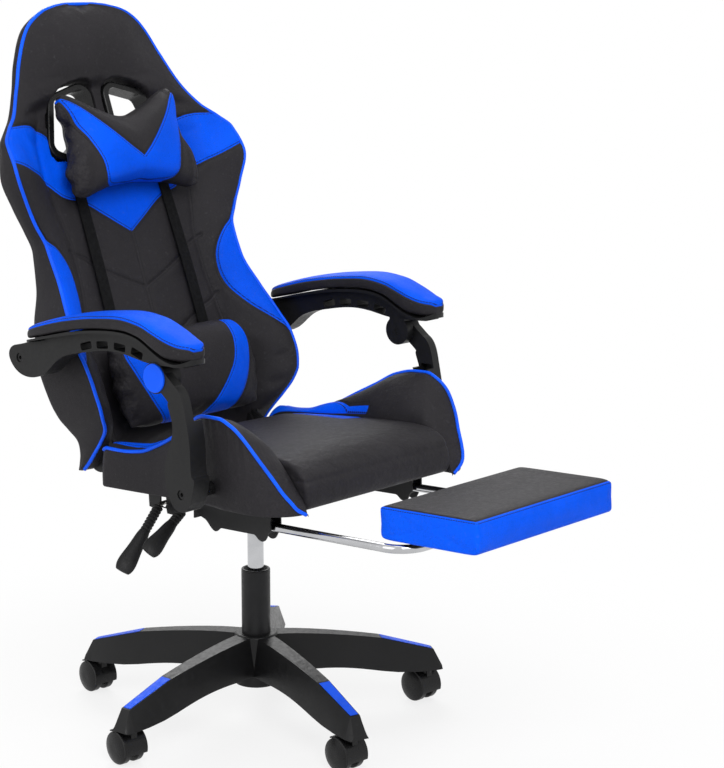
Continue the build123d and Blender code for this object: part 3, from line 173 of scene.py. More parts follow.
# ---------------------------------------------------------------- meshes
def new_object(name: str, vertices: np.ndarray, faces: list) -> bpy.types.Object:
    """Adds a mesh object with smooth faces and outward normals.

    Args:
        name: the object's name.
        vertices: points in millimetres.
        faces: the vertex numbers of each face.

    Returns:
        The new object, in metres.
    """
    mesh = bpy.data.meshes.new(name)
    mesh.from_pydata((vertices * MM).tolist(), [], faces)
    work = bmesh.new()
    work.from_mesh(mesh)
    bmesh.ops.recalc_face_normals(work, faces=work.faces)
    work.to_mesh(mesh)
    work.free()
    mesh.shade_smooth()
    item = bpy.data.objects.new(name, mesh)
    bpy.context.scene.collection.objects.link(item)
    return item


def loft(name: str, rows: np.ndarray, cap_rings: int = 3) -> bpy.types.Object:
    """Closed body through closed rings of points.

    Args:
        name: the object's name.
        rows: rings as (ring, point, xyz), in millimetres.
        cap_rings: rings that close each end towards its middle.

    Returns:
        The new object.
    """
    ends = []
    for end in (rows[0], rows[-1]):
        ends.append([end + (end.mean(0) - end) * k / (cap_rings + 1) for k in range(1, cap_rings + 1)])
    grid = np.array([*ends[0][::-1], *rows, *ends[1]])
    count, around = grid.shape[:2]
    corner = np.arange(count * around).reshape(count, around)
    beside = np.roll(corner, -1, axis=1)
    quads = np.stack([corner[:-1], beside[:-1], beside[1:], corner[1:]], axis=-1).reshape(-1, 4)
    faces = quads.tolist() + [corner[0].tolist(), corner[-1][::-1].tolist()]
    return new_object(name, grid.reshape(-1, 3), faces)


def tube(name: str, path: np.ndarray, radius: float, sides: int = 10) -> bpy.types.Object:
    """Round cord: a circle carried along a path, square to it at each point.

    Args:
        name: the object's name.
        path: points along the cord's middle, in millimetres.
        radius: the cord's radius.
        sides: points round the circle.

    Returns:
        The new object, closed at both ends.
    """
    ahead = np.roll(path, -1, 0) - np.roll(path, 1, 0)
    ahead[0], ahead[-1] = path[1] - path[0], path[-1] - path[-2]
    ahead /= np.linalg.norm(ahead, axis=1)[:, None]
    never_ahead = np.array([0.31, 0.17, 0.94])
    side = np.cross(ahead, never_ahead)
    side /= np.linalg.norm(side, axis=1)[:, None]
    other = np.cross(ahead, side)
    turn = np.linspace(0, 2 * math.pi, sides, endpoint=False)[:, None]
    circle = side[:, None] * np.cos(turn) + other[:, None] * np.sin(turn)
    return loft(name, path[:, None] + radius * circle, 1)


def read_points(item: bpy.types.Object) -> np.ndarray:
    """Vertices of an object's mesh in millimetres."""
    flat = np.empty(len(item.data.vertices) * 3)
    item.data.vertices.foreach_get("co", flat)
    return flat.reshape(-1, 3) / MM


def write_points(item: bpy.types.Object, points: np.ndarray) -> None:
    """Moves an object's vertices to points in millimetres."""
    item.data.vertices.foreach_set("co", (points * MM).ravel())
    item.data.update()


def read_normals(item: bpy.types.Object) -> np.ndarray:
    """Vertex normals of an object's mesh."""
    flat = np.empty(len(item.data.vertices) * 3)
    item.data.vertices.foreach_get("normal", flat)
    return flat.reshape(-1, 3)


def paint(item: bpy.types.Object, name: str, values: np.ndarray) -> None:
    """Stores one number per vertex under a name, for the material to read."""
    layer = item.data.attributes.get(name) or item.data.attributes.new(name, "FLOAT", "POINT")
    layer.data.foreach_set("value", values.astype(np.float32))


def subdivide(item: bpy.types.Object, levels: int = 1) -> None:
    """Applies a subdivision surface."""
    change = item.modifiers.new("subdivision", "SUBSURF")
    change.levels = change.render_levels = levels
    apply_modifiers(item)


def apply_modifiers(item: bpy.types.Object) -> None:
    """Replaces an object's mesh with what its modifiers make of it."""
    graph = bpy.context.evaluated_depsgraph_get()
    made = item.evaluated_get(graph)
    mesh = bpy.data.meshes.new_from_object(made, preserve_all_data_layers=True, depsgraph=graph)
    old = item.data
    item.modifiers.clear()
    item.data = mesh
    bpy.data.meshes.remove(old)
    mesh.name = item.name
    mesh.shade_smooth()


def puff(item: bpy.types.Object, held: np.ndarray, cap: float, pressure: float, frames: int = 20) -> None:
    """Swells a cover by cloth simulation, held along its seams.

    Args:
        item: the cover.
        held: how firmly each vertex stays put, 0 to 1.
        cap: furthest a vertex may move, in millimetres.
        pressure: air pressure inside.
        frames: simulated frames.
    """
    start = read_points(item)
    group = item.vertex_groups.new(name="held")
    for level in np.unique(np.round(held, 1)):
        if level > 0:
            group.add(np.flatnonzero(np.round(held, 1) == level).tolist(), float(level), "REPLACE")
    change = item.modifiers.new("cloth", "CLOTH")
    cloth = change.settings
    for setting, value in dict(
        quality=4, mass=0.3, tension_stiffness=12, compression_stiffness=12, shear_stiffness=4,
        bending_stiffness=0.4, use_pressure=True, uniform_pressure_force=pressure,
        vertex_group_mass=group.name,
    ).items():
        setattr(cloth, setting, value)
    cloth.effector_weights.gravity = 0
    change.collision_settings.use_collision = False
    change.point_cache.frame_start = 1
    change.point_cache.frame_end = frames
    for number in range(1, frames + 1):
        bpy.context.scene.frame_set(number)
    swollen = item.evaluated_get(bpy.context.evaluated_depsgraph_get())
    mesh = swollen.to_mesh()
    flat = np.empty(len(mesh.vertices) * 3)
    mesh.vertices.foreach_get("co", flat)
    move = flat.reshape(-1, 3) / MM - start
    swollen.to_mesh_clear()
    item.modifiers.clear()
    item.vertex_groups.clear()
    bpy.context.scene.frame_set(1)
    size = np.linalg.norm(move, axis=1)
    move *= np.minimum(1, cap / np.maximum(size, 1e-9))[:, None]
    write_points(item, start + move)
    LOG.info("simulated %s: mean %.1f mm", item.name, float(np.minimum(size, cap).mean()))


# ---------------------------------------------------------------- shader nodes
class Shader:
    """Adds nodes to one node tree with constants straight on their sockets."""

    def __init__(self, tree: bpy.types.NodeTree) -> None:
        self.tree = tree
        tree.nodes.clear()

    def add(self, kind: str, inputs: dict | None = None, **settings: Any) -> bpy.types.Node:
        """Adds a node.

        Args:
            kind: the node's type.
            inputs: constants, or sockets to link, by the name or number of the input.
            **settings: the node's own properties, set before its inputs.

        Returns:
            The new node.
        """
        node = self.tree.nodes.new(kind)
        for key, value in settings.items():
            setattr(node, key, value)
        for key, value in (inputs or {}).items():
            if isinstance(value, bpy.types.NodeSocket):
                self.tree.links.new(value, node.inputs[key])
            else:
                node.inputs[key].default_value = value
        return node

    def math(self, operation: str, *values: Any) -> Socket:
        """Result of a math node."""
        return self.add("ShaderNodeMath", dict(enumerate(values)), operation=operation).outputs[0]

    def weighted(self, *terms: tuple[Socket, float]) -> Socket:
        """Sum of values, each times its weight."""
        parts = [self.math("MULTIPLY", value, weight) for value, weight in terms]
        total = parts[0]
        for part in parts[1:]:
            total = self.math("ADD", total, part)
        return total

    def scaled(self, colour: Any, factor: Any) -> Socket:
        """Colour times a factor."""
        return self.add("ShaderNodeVectorMath", {0: colour, "Scale": factor}, operation="SCALE").outputs[0]

    def mix(self, share: Any, first: Any, second: Any) -> Socket:
        """Colour between two colours."""
        return self.add("ShaderNodeMix", {0: share, 6: first, 7: second}, data_type="RGBA").outputs[2]

    def remap(self, value: Any, low: float, high: float, to_low: float = 0.0, to_high: float = 1.0) -> Socket:
        """Value moved smoothly from one range to another."""
        inputs = {0: value, 1: low, 2: high, 3: to_low, 4: to_high}
        return self.add("ShaderNodeMapRange", inputs, interpolation_type="SMOOTHSTEP").outputs[0]

    def stored(self, name: str) -> Socket:
        """A number painted on the mesh."""
        return self.add("ShaderNodeAttribute", attribute_name=name).outputs["Fac"]

    def place(self) -> Socket:
        """Object coordinates."""
        return self.add("ShaderNodeTexCoord").outputs["Object"]

    def noise(self, scale: Any, detail: float = 3.0, rough: float = 0.5) -> Socket:
        """Noise height at a scale per metre."""
        inputs = {"Scale": scale, "Detail": detail, "Roughness": rough, "Vector": self.place()}
        return self.add("ShaderNodeTexNoise", inputs).outputs[0]

    def group(self, tree: bpy.types.NodeTree, *values: Any) -> Any:
        """Outputs of a shared node group, given its inputs in order."""
        return self.add("ShaderNodeGroup", dict(enumerate(values)), node_tree=tree).outputs

    def principled(
        self, colour: Any, rough: Any, height: Socket, bump: tuple[float, float], **more: Any
    ) -> None:
        """Ends a material in a Principled BSDF.

        Args:
            colour: base colour.
            rough: roughness.
            height: height of the bumps.
            bump: their strength, and their depth in metres.
            **more: further inputs by name, with _ for a space.
        """
        bumps = self.add("ShaderNodeBump", {"Strength": bump[0], "Distance": bump[1], "Height": height})
        inputs = {"Base Color": colour, "Roughness": rough, "Normal": bumps.outputs[0]}
        inputs |= {key.replace("_", " "): value for key, value in more.items()}
        body = self.add("ShaderNodeBsdfPrincipled", inputs)
        self.add("ShaderNodeOutputMaterial", {0: body.outputs[0]})


def group_tree(name: str, inputs: dict[str, float], outputs: Sequence[str]) -> tuple:
    """Starts a node group with float sockets.

    Args:
        name: the group's name.
        inputs: default of each input, by its name.
        outputs: names of the outputs.

    Returns:
        The group, its shader, its input sockets and its output node.
    """
    tree = bpy.data.node_groups.new(name, "ShaderNodeTree")
    for label, value in inputs.items():
        socket = tree.interface.new_socket(label, in_out="INPUT", socket_type="NodeSocketFloat")
        socket.default_value = value
    for label in outputs:
        tree.interface.new_socket(label, in_out="OUTPUT", socket_type="NodeSocketFloat")
    shader = Shader(tree)
    given = list(shader.add("NodeGroupInput").outputs)[:len(inputs)]
    return tree, shader, given, shader.add("NodeGroupOutput")


def grain_group() -> bpy.types.NodeTree:
    """Pebbled leather grain: cells with soft creases between them, bent by slow noise, on fine noise; the
    second output marks the creases, which the leather darkens as painted shade.
    """
    tree, s, given, result = group_tree("leather_grain", {"Scale": 620.0}, ["Height", "Tint"])
    bent = s.add("ShaderNodeTexNoise", {"Vector": s.place(), "Scale": 180.0, "Detail": 2.0})
    shift = s.scaled(bent.outputs[1], 0.0016)
    where = s.add("ShaderNodeVectorMath", {0: s.place(), 1: shift}, operation="ADD")
    inputs = {"Vector": where.outputs[0], "Scale": given[0]}
    crease = s.remap(s.add("ShaderNodeTexVoronoi", inputs, feature="DISTANCE_TO_EDGE").outputs[0], 0.0, 0.16)
    s.tree.links.new(s.math("ADD", crease, s.math("MULTIPLY", s.noise(2400.0, 2.0), 0.25)), result.inputs[0])
    s.tree.links.new(crease, result.inputs[1])
    return tree


def stitch_group() -> bpy.types.NodeTree:
    """Twin rows of thread beside a seam, from the distance to it and the length along it."""
    defaults = {"Seam": 1.0, "Along": 0.0, "Offset": 3.4, "Pitch": 4.6}
    tree, s, (seam, along, offset, pitch), result = group_tree("twin_stitch", defaults, ["Thread", "Groove"])
    row = s.math("ABSOLUTE", s.math("SUBTRACT", seam, offset))
    step = s.math("FRACT", s.math("DIVIDE", along, pitch))
    dash = s.remap(s.math("ABSOLUTE", s.math("SUBTRACT", step, 0.5)), 0.34, 0.42, 1.0, 0.0)
    s.tree.links.new(s.math("MULTIPLY", s.remap(row, 0.35, 0.75, 1.0, 0.0), dash), result.inputs[0])
    s.tree.links.new(s.remap(seam, 0.0, 1.6), result.inputs[1])
    return tree


def wear_group() -> bpy.types.NodeTree:
    """Slow and fast blotches for tint and gloss."""
    tree, s, given, result = group_tree("wear", {"Scale": 9.0}, ["Slow", "Fast"])
    s.tree.links.new(s.noise(given[0], 4.0), result.inputs[0])
    s.tree.links.new(s.noise(140.0, 4.0, 0.6), result.inputs[1])
    return tree


# ---------------------------------------------------------------- finishes
BLUE = (0.0, 0.108, 1.0)
DUST = (0.20, 0.20, 0.21, 1)
THREAD = (0.012, 0.012, 0.014, 1)


@dataclass(frozen=True)
class Effects:
    """Node groups that several finishes share."""

    grain: bpy.types.NodeTree
    stitch: bpy.types.NodeTree
    wear: bpy.types.NodeTree


@dataclass(frozen=True)
class Leather:
    """Two-tone artificial leather that reads blue, seam, along and crease from the mesh."""

    black: Colour = (0.0245, 0.0228, 0.0258)
    blue: Colour = BLUE
    gloss: float = 0.56
    grain_scale: float = 620.0
    blotch_scale: float = 7.0
    stitch_offset: float = 3.4
    stitch_pitch: float = 4.6

    def draw(self, s: Shader, shared: Effects) -> None:
        """Fills a material's node tree."""
        grain, wear = s.group(shared.grain, self.grain_scale), s.group(shared.wear, self.blotch_scale)
        seam, along = s.stored("seam"), s.stored("along")
        stitch = s.group(shared.stitch, seam, along, self.stitch_offset, self.stitch_pitch)
        zone = s.remap(s.stored("blue"), -0.25, 0.25)
        base = s.mix(zone, (*self.black, 1), (*self.blue, 1))
        # painted shade: the grain's creases darken the colour; the slow blotches are random tone
        shade = s.math("MULTIPLY", s.remap(wear[0], 0.3, 0.7, 0.86, 1.1), s.remap(grain[1], 0, 1, 0.78, 1.0))
        dusty = s.mix(s.remap(wear[1], 0.55, 0.8, 0.0, 0.10), s.scaled(base, shade), DUST)
        folds = s.math("MULTIPLY", s.stored("crease"), s.noise(38.0, 3.0, 0.55))
        height = s.weighted((grain[0], 0.16), (stitch[1], 0.9), (stitch[0], 0.5), (folds, 6.0))
        rubbed = s.remap(wear[1], 0.2, 0.8, self.gloss - 0.06, self.gloss + 0.08)
        rough = s.math("ADD", rubbed, s.math("MULTIPLY", grain[1], -0.04))
        shine = s.remap(zone, 0.0, 1.0, 0.12, 0.08)
        s.principled(s.mix(stitch[0], dusty, THREAD), rough, height, (0.55, 0.0011), Specular_IOR_Level=shine)


@dataclass(frozen=True)
class Plastic:
    """Moulded plastic with fine texture, its scale per metre, handling marks and rubbed patches."""

    colour: Colour
    rough: float
    texture: float
    depth: float

    def draw(self, s: Shader, shared: Effects) -> None:
        """Fills a material's node tree."""
        wear = s.group(shared.wear, 12.0)
        tinted = s.scaled(self.colour, s.remap(wear[0], 0.3, 0.7, 0.85, 1.15))
        scuffed = s.mix(s.remap(wear[1], 0.60, 0.85, 0.0, 0.05), tinted, DUST)
        gloss = s.remap(wear[1], 0.25, 0.75, self.rough - 0.08, self.rough + 0.1)
        speckle = s.noise(self.texture, 3.0, 0.6)
        s.principled(scuffed, gloss, speckle, (self.depth, 0.0006), Specular_IOR_Level=0.22)


@dataclass(frozen=True)
class PinCap:
    """Black plastic pin whose outer cap, past a distance from the chair's middle, is blue."""

    black: Colour = (0.009, 0.009, 0.0095)
    blue: Colour = BLUE
    cap_from: float = 0.292
    blend: float = 0.0001

    def draw(self, s: Shader, shared: Effects) -> None:
        """Fills a material's node tree."""
        across = s.add("ShaderNodeSeparateXYZ", {0: s.place()}).outputs[0]
        zone = s.remap(s.math("ABSOLUTE", across), self.cap_from - self.blend, self.cap_from + self.blend)
        rough = s.remap(s.group(shared.wear, 12.0)[1], 0.25, 0.75, 0.38, 0.52)
        colour = s.mix(zone, (*self.black, 1), (*self.blue, 1))
        s.principled(colour, rough, s.noise(900.0, 2.0), (0.03, 0.0004), Specular_IOR_Level=0.2)


@dataclass(frozen=True)
class Webbing:
    """Woven strap: two families of diagonal ribs, the higher of which shows, its colour darker in the grooves
    and lighter on the ribs as painted shade and highlight.
    """

    colour: Colour = (0.0045, 0.0045, 0.005)
    ribs: float = 3600.0

    def draw(self, s: Shader, shared: Effects) -> None:
        """Fills a material's node tree."""
        place = s.add("ShaderNodeSeparateXYZ", {0: s.place()}).outputs
        slants = [s.math(kind, place[0], place[2]) for kind in ("ADD", "SUBTRACT")]
        weave = s.math("MAXIMUM", *[s.math("SINE", s.math("MULTIPLY", slant, self.ribs)) for slant in slants])
        rough = s.remap(s.noise(160.0), 0.3, 0.7, 0.65, 0.85)
        # painted shade and highlight: the colour is darker in the weave's grooves and lighter on its ribs
        colour = s.scaled(self.colour, s.remap(weave, -0.6, 1.0, 0.5, 1.2))
        s.principled(colour, rough, weave, (0.5, 0.0005), Specular_IOR_Level=0.12)


@dataclass(frozen=True)
class Surface:
    """A metal's colour, the ranges of its tint and roughness, its bumps per metre, and how it shines."""

    colour: Colour
    tint: tuple[float, float]
    rough: tuple[float, float]
    worn_from: float
    bumps: float
    bump: tuple[float, float]
    shine: tuple[str, float]


class Metal(Enum):
    """How a metal part is finished: powder-coated, chromed or zinc-plated."""

    POWDER = Surface(
        (0.009, 0.009, 0.010), (0.8, 1.2), (0.34, 0.50), 0.2, 700.0, (0.15, 0.0005),
        ("Specular_IOR_Level", 0.25),
    )
    CHROME = Surface(
        (0.52, 0.525, 0.54), (0.88, 1.05), (0.07, 0.19), 0.3, 300.0, (0.03, 0.0004), ("Metallic", 1.0)
    )
    ZINC = Surface(
        (0.52, 0.51, 0.48), (0.88, 1.05), (0.3, 0.42), 0.3, 300.0, (0.03, 0.0004), ("Metallic", 1.0)
    )

    def draw(self, s: Shader, shared: Effects) -> None:
        """Fills a material's node tree."""
        metal, wear = self.value, s.group(shared.wear, 20.0)
        colour = s.scaled(metal.colour, s.remap(wear[0], 0.3, 0.7, *metal.tint))
        rough = s.remap(wear[1], metal.worn_from, 0.8, *metal.rough)
        s.principled(colour, rough, s.noise(metal.bumps, 2.0), metal.bump, **dict([metal.shine]))


BLACK = (0.009, 0.009, 0.0095)
DEEP_BLACK = (0.008, 0.008, 0.0085)
FINISHES = {
    "two_tone_leather": Leather(),
    "blue_piping": Plastic(BLUE, 0.5, 2200.0, 0.1),
    "strap_webbing": Webbing(),
    "base_plastic": Plastic(BLACK, 0.36, 800.0, 0.14),
    "arm_plastic": Plastic(BLACK, 0.42, 1100.0, 0.16),
    "gloss_black": Plastic(DEEP_BLACK, 0.26, 900.0, 0.05),
    "nylon": Plastic(DEEP_BLACK, 0.30, 1000.0, 0.08),
    "grip_rubber": Plastic((0.010, 0.010, 0.0105), 0.55, 1500.0, 0.22),
    "blue_inlay": Plastic(BLUE, 0.45, 600.0, 0.02),
    "pin_cap": PinCap(),
    "powder_steel": Metal.POWDER,
    "chrome_steel": Metal.CHROME,
    "zinc_steel": Metal.ZINC,
}


class Finishes:
    """Every material of the chair, each made the first time that a piece wears it."""

    def __init__(self) -> None:
        self.shared = Effects(grain_group(), stitch_group(), wear_group())
        self.made: dict[str, bpy.types.Material] = {}

    def dress(self, piece: bpy.types.Object, name: str) -> None:
        """Gives a piece one of the finishes, and reports the piece."""
        if name not in self.made:
            self.made[name] = bpy.data.materials.new(name)
            self.made[name].use_nodes = True
            FINISHES[name].draw(Shader(self.made[name].node_tree), self.shared)
        piece.data.materials.clear()
        piece.data.materials.append(self.made[name])
        LOG.info("%s: %s, %d vertices", piece.name, name, len(piece.data.vertices))


# ---------------------------------------------------------------- places
BACK_ORIGIN = np.array([0.0, 189.5, 469.0])
BACK_TURN = math.radians(20.0)
BACK_UP = np.array([0.0, math.sin(BACK_TURN), math.cos(BACK_TURN)])
BACK_FRONT = np.array([0.0, -math.cos(BACK_TURN), math.sin(BACK_TURN)])
SEAT_TILT = math.tan(math.radians(2.5))


def from_back(x: np.ndarray, along: np.ndarray, forward: np.ndarray) -> np.ndarray:
    """Points of the chair from places on its back."""
    across = BACK_ORIGIN + np.stack([x, 0 * x, 0 * x], -1)
    return across + along[..., None] * BACK_UP + forward[..., None] * BACK_FRONT


def to_back(points: np.ndarray) -> np.ndarray:
    """Places on the back, as (x, along, forward), from points of the chair."""
    rest = points - BACK_ORIGIN
    return np.stack([points[:, 0], rest @ BACK_UP, rest @ BACK_FRONT], axis=1)


def seat_level(y: np.ndarray) -> np.ndarray:
    """Height of the seat's underside."""
    return 434.5 - y * SEAT_TILT


def nearest_seam(places: np.ndarray, seams: Sequence[np.ndarray]) -> tuple[np.ndarray, np.ndarray]:
    """Finds the nearest of several seams.

    Args:
        places: 2-D places.
        seams: polylines in the same 2-D places.

    Returns:
        The distance to the nearest seam, FAR at most, and the length along it.
    """
    near, along = np.full(len(places), FAR), np.zeros(len(places))
    for seam in seams:
        gap, length = distance_to_line(places, seam)
        closer = gap < near
        near[closer], along[closer] = gap[closer], length[closer]
    return near, along


def paint_seams(
    item: bpy.types.Object, places: np.ndarray, seams: Sequence[np.ndarray], shown: np.ndarray
) -> np.ndarray:
    """Stores the distance to the nearest seam and the length along it.

    Args:
        item: the cover.
        places: 2-D place of each vertex.
        seams: polylines in the same 2-D places.
        shown: true where the seams lie on that side of the cover.

    Returns:
        The distance to the nearest seam.
    """
    near, along = nearest_seam(places, seams)
    near = np.where(shown, near, FAR)
    paint(item, "seam", near)
    paint(item, "along", along)
    return near


def press_seams(item: bpy.types.Object, near: np.ndarray, depth: float, reach: float) -> None:
    """Draws a cover in along its seams, with a rounded groove."""
    inward = depth * np.exp(-((near / reach) ** 2))
    write_points(item, read_points(item) - read_normals(item) * inward[:, None])


# ---------------------------------------------------------------- back
@dataclass(frozen=True)
class BackRows:
    """The sections read at each vertex's place along the back."""

    half: np.ndarray
    rear: np.ndarray
    rear_edge: np.ndarray
    crest: np.ndarray
    panel: np.ndarray
    middle: np.ndarray
    round_front: np.ndarray
    round_rear: np.ndarray


@dataclass(frozen=True)
class Back:
    """Winged back with bolsters, quilting, piping, straps and belt openings, in millimetres.

    sections are (along, half width, rear, rear at the edge, crest at the edge, panel edge, middle front), and
    every seam's points are (x, along).
    """

    finishes: Finishes
    sections: tuple = (
        (-20, 214, -24, -38, -16, 150, 4), (-8, 212, -26, -34, 4, 152, 6), (5, 211, -27, -28, 23, 154, 10),
        (18, 213, -28, -22, 45, 156, 15), (33, 219, -29, -16, 69, 160, 18),
        (52, 233, -30, -14, 87, 162, 20), (74, 243, -32, -19, 99, 164, 20),
        (105, 248, -36, -25, 102, 166, 20), (140, 249, -39, -30, 98, 165, 20),
        (179, 246, -41, -35, 84, 163, 20), (236, 234, -42, -34, 67, 156, 20),
        (301, 222, -36, -17, 52, 148, 20), (358, 224, -24, -1, 48, 148, 20),
        (394, 239, -18, 9, 52, 155, 20), (436, 257, -13, 16, 64, 163, 20), (487, 273, -9, 25, 78, 172, 20),
        (536, 268, -8, 36, 67, 168, 20), (560, 250, -8, 35, 57, 161, 20), (588, 222, -8, 24, 46, 151, 20),
        (637, 192, -9, 15, 35, 140, 22), (691, 167, -10, 9, 33, 110, 28), (745, 136, -9, 9, 37, 80, 33),
        (771, 102, -5, 10, 41, 55, 35), (785, 58, 2, 11, 37, 28, 33), (790.5, 22, 10, 15, 30, 10, 27),
    )
    band_upper: tuple = (
        (0, 462), (60, 480), (101, 504), (115, 516), (138, 554), (181, 571), (234, 569), (290, 566),
    )
    band_lower: tuple = (
        (290, 506), (266, 501), (224, 488), (175, 474), (135, 446), (105, 436), (80, 425), (38, 397),
        (0, 372),
    )
    waist: tuple = (
        (250, 408), (238, 400), (222, 371), (199, 353), (180, 328), (171, 302), (171, 268), (179, 240),
        (198, 208), (217, 182), (235, 158), (250, 138),
    )
    quilting: tuple = (
        ((0, 150), (0, 372)), ((0, 270), (60, 297), (105, 321), (124, 336), (158, 350)),
        ((0, 163), (66, 192), (109, 215), (145, 229), (161, 240)), ((0, 372), (38, 397), (80, 425)),
    )
    opening: tuple = ((26, 640), (104, 618), (130, 532), (104, 520), (26, 572))
    cord_radius: float = 3.1

    def rows(self, along: np.ndarray) -> BackRows:
        """Reads every section column at places along the back."""
        columns = [table(self.sections, along, k) for k in range(1, 7)]
        thick = columns[3] - columns[2]
        return BackRows(*columns, np.minimum(9, 0.4 * thick), np.minimum(13, 0.4 * thick))

    def front(self, x: np.ndarray, along: np.ndarray) -> np.ndarray:
        """Works out the front: a flat panel, bolsters that rise to a firm edge, and a rolled head.

        Args:
            x: distance from the middle.
            along: place along the back.

        Returns:
            The forward place.
        """
        r = self.rows(along)
        top = r.half - r.round_front
        rise = np.sin(np.clip((x - r.panel) / (top - r.panel), 0, 1) * math.pi / 2) ** 1.25
        fall = np.sqrt(np.clip(1 - np.clip((x - top) / r.round_front, 0, 1) ** 2, 0, 1))
        head = 15 * smooth((along - 636 + 0.25 * x) / 20) * smooth((800 - along) / 60)
        rolled = head * smooth((r.half - x) / 60)
        return r.middle + (r.crest - r.middle) * rise - r.round_front * (1 - fall) + rolled

    def outline(self, fine: np.ndarray) -> tuple[np.ndarray, np.ndarray]:
        """Half sections from the middle of the front round the edge to the middle of the rear.

        Args:
            fine: places along the back.

        Returns:
            The x and the forward place of each point, as (section, point).
        """
        r = self.rows(fine[:, None])
        top = r.half - r.round_front
        arc = np.linspace(0, math.pi / 2, 7)[None, 1:]
        flat_x, bolster_x = r.panel * steps(20, 0), r.panel + (top - r.panel) * steps(17)
        front_x = np.concatenate([flat_x, bolster_x, top + r.round_front * np.sin(arc)], 1)
        front_v = self.front(front_x, fine[:, None] + 0 * front_x)
        low, high = r.rear_edge + r.round_rear, r.crest - r.round_front
        wall_x, wall_v = r.half + 2.0 * np.sin(steps(9) * math.pi), high + (low - high) * steps(9)
        turn_x = r.half - r.round_rear + r.round_rear * np.cos(arc)
        turn_v = low - r.round_rear * np.sin(arc)
        rear_x = (r.half - r.round_rear) * (1 - steps(14))
        rear_v = r.rear_edge + (r.rear - r.rear_edge) * smooth(steps(14) / 0.6)
        return (
            np.concatenate([front_x, wall_x, turn_x, rear_x], 1),
            np.concatenate([front_v, wall_v, turn_v, rear_v], 1),
        )

    def build(self) -> None:
        """Makes the cover, its piping and its straps."""
        fine = np.concatenate([np.linspace(-20, 765, 156), np.linspace(770, 790.5, 8)])
        x, v = self.outline(fine)
        x, v = np.concatenate([x, -x[:, -2:0:-1]], 1), np.concatenate([v, v[:, -2:0:-1]], 1)
        cover = loft("back_cover", from_back(x, fine[:, None], v))
        self.cut_openings(cover)
        self.detail(cover)
        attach(cover, "back")
        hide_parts("back_cushion")
        self.piping()
        self.straps()

    def cut_openings(self, cover: bpy.types.Object, clear: float = 8.5, ends: tuple = (-60, 90)) -> None:
        """Cuts the two belt openings through the cover.

        Args:
            cover: the back's cover.
            clear: how far the hole stands outside the opening's outline.
            ends: forward places where the cutter starts and ends.
        """
        for side, _ in SIDES:
            outline = curve([(side * x, along) for x, along in self.opening], 48, closed=True)
            middle = outline.mean(0)
            spread = outline - middle
            x, along = (middle + spread * (1 + clear / np.linalg.norm(spread, axis=1)[:, None])).T
            cutter = loft("cutter", np.stack([from_back(x, along, 0 * x + depth) for depth in ends]), 0)
            change = cover.modifiers.new("opening", "BOOLEAN")
            change.object = cutter
            change.operation = "DIFFERENCE"
            change.solver = "EXACT"
            apply_modifiers(cover)
            bpy.data.objects.remove(cutter)

    def places(self, cover: bpy.types.Object) -> tuple[np.ndarray, BackRows, np.ndarray]:
        """Reads where the cover's vertices are.

        Args:
            cover: the back's cover.

        Returns:
            Each vertex's (x, along) place, with x outwards, its sections, and whether it is on the front.
        """
        x, along, forward = to_back(read_points(cover)).T
        x = np.abs(x)
        r = self.rows(along)
        rear = r.rear_edge + (r.rear - r.rear_edge) * smooth((1 - x / r.half) / 0.6)
        ahead = forward > rear + 0.55 * (self.front(x, along) - rear)
        return np.stack([x, along], 1), r, ahead & (x < r.half - 0.2 * r.round_front)

    def detail(self, cover: bpy.types.Object) -> None:
        """Swells the cover between its seams, and stores its colours, seams and creases."""
        flat, r, front = self.places(cover)
        down = np.linspace(60, 436, 50)
        panel_edge = np.stack([table(self.sections, down, 5) - 2, down], 1)
        seams = [curve(line, 40) for line in self.quilting] + [panel_edge]
        sewn = front & (nearest_seam(flat, seams)[0] < 5)
        rim = np.abs(inside_depth(flat, curve(self.opening, 48, closed=True))) < 15
        edge = flat[:, 0] > r.half - 12
        puff(cover, np.where(sewn | rim | edge, 1.0, np.where(front, 0.0, 0.8)), cap=7.0, pressure=3.0)
        subdivide(cover)
        flat, r, front = self.places(cover)
        x, along = flat.T
        upper, lower, waist = (curve(line, 60) for line in (self.band_upper, self.band_lower, self.waist))
        near = paint_seams(cover, flat, [*seams, upper, lower, waist], front)
        press_seams(cover, near, 2.0, 3.0)
        outer = np.array([(300, 138), (300, 408)], float)
        blue = np.maximum(*(inside_depth(flat, np.vstack(zone)) for zone in ((upper, lower), (waist, outer))))
        paint(cover, "blue", np.where(front, blue, OFF_BLUE))
        paint(cover, "along", along + 0.7 * x)
        crumple = 0.3 + 0.5 * np.exp(-(((near - 8) / 12) ** 2)) + 0.8 * np.exp(-(((along - 628) / 14) ** 2))
        paint(cover, "crease", np.where(front, crumple, 0.25))
        self.finishes.dress(cover, "two_tone_leather")

    def piping(self) -> None:
        """Blue cord round the front edge of the back."""
        along = np.concatenate([np.linspace(-19, 775, 160), np.linspace(778, 789.5, 6)])
        r = self.rows(along)
        out, level = r.half - 0.25 * r.round_front, r.crest - 0.25 * r.round_front
        path = curve(np.vstack([from_back(out, along, level), from_back(-out, along, level)[::-1]]), 440)
        cord = tube("back_piping", path, self.cord_radius)
        self.finishes.dress(cord, "blue_piping")
        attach(cord, "back")

    def straps(self) -> None:
        """Two woven straps that hold the pillows: ribbons with thicker edges, drawn taut over the panel."""
        along = np.linspace(62, 468, 60)[:, None]
        across = np.array([-12, -11.4, -8, 0, 8, 11.4, 12])
        lift = np.array([0.9, 1.8, 2.0, 1.8, 2.0, 1.8, 0.9])
        taut = 21.5 + 6 * np.sin(math.pi * (along - 62) / 406)
        v = taut + np.concatenate([lift, 0 * lift + 0.1])
        for side, word in SIDES:
            x = side * (108 - 8 * (along - 60) / 410) + np.concatenate([across, across[::-1]])
            strap = loft(f"pillow_strap_{word}", from_back(x, along, v), 1)
            self.finishes.dress(strap, "strap_webbing")
            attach(strap, "back")
            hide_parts("pillow_straps")


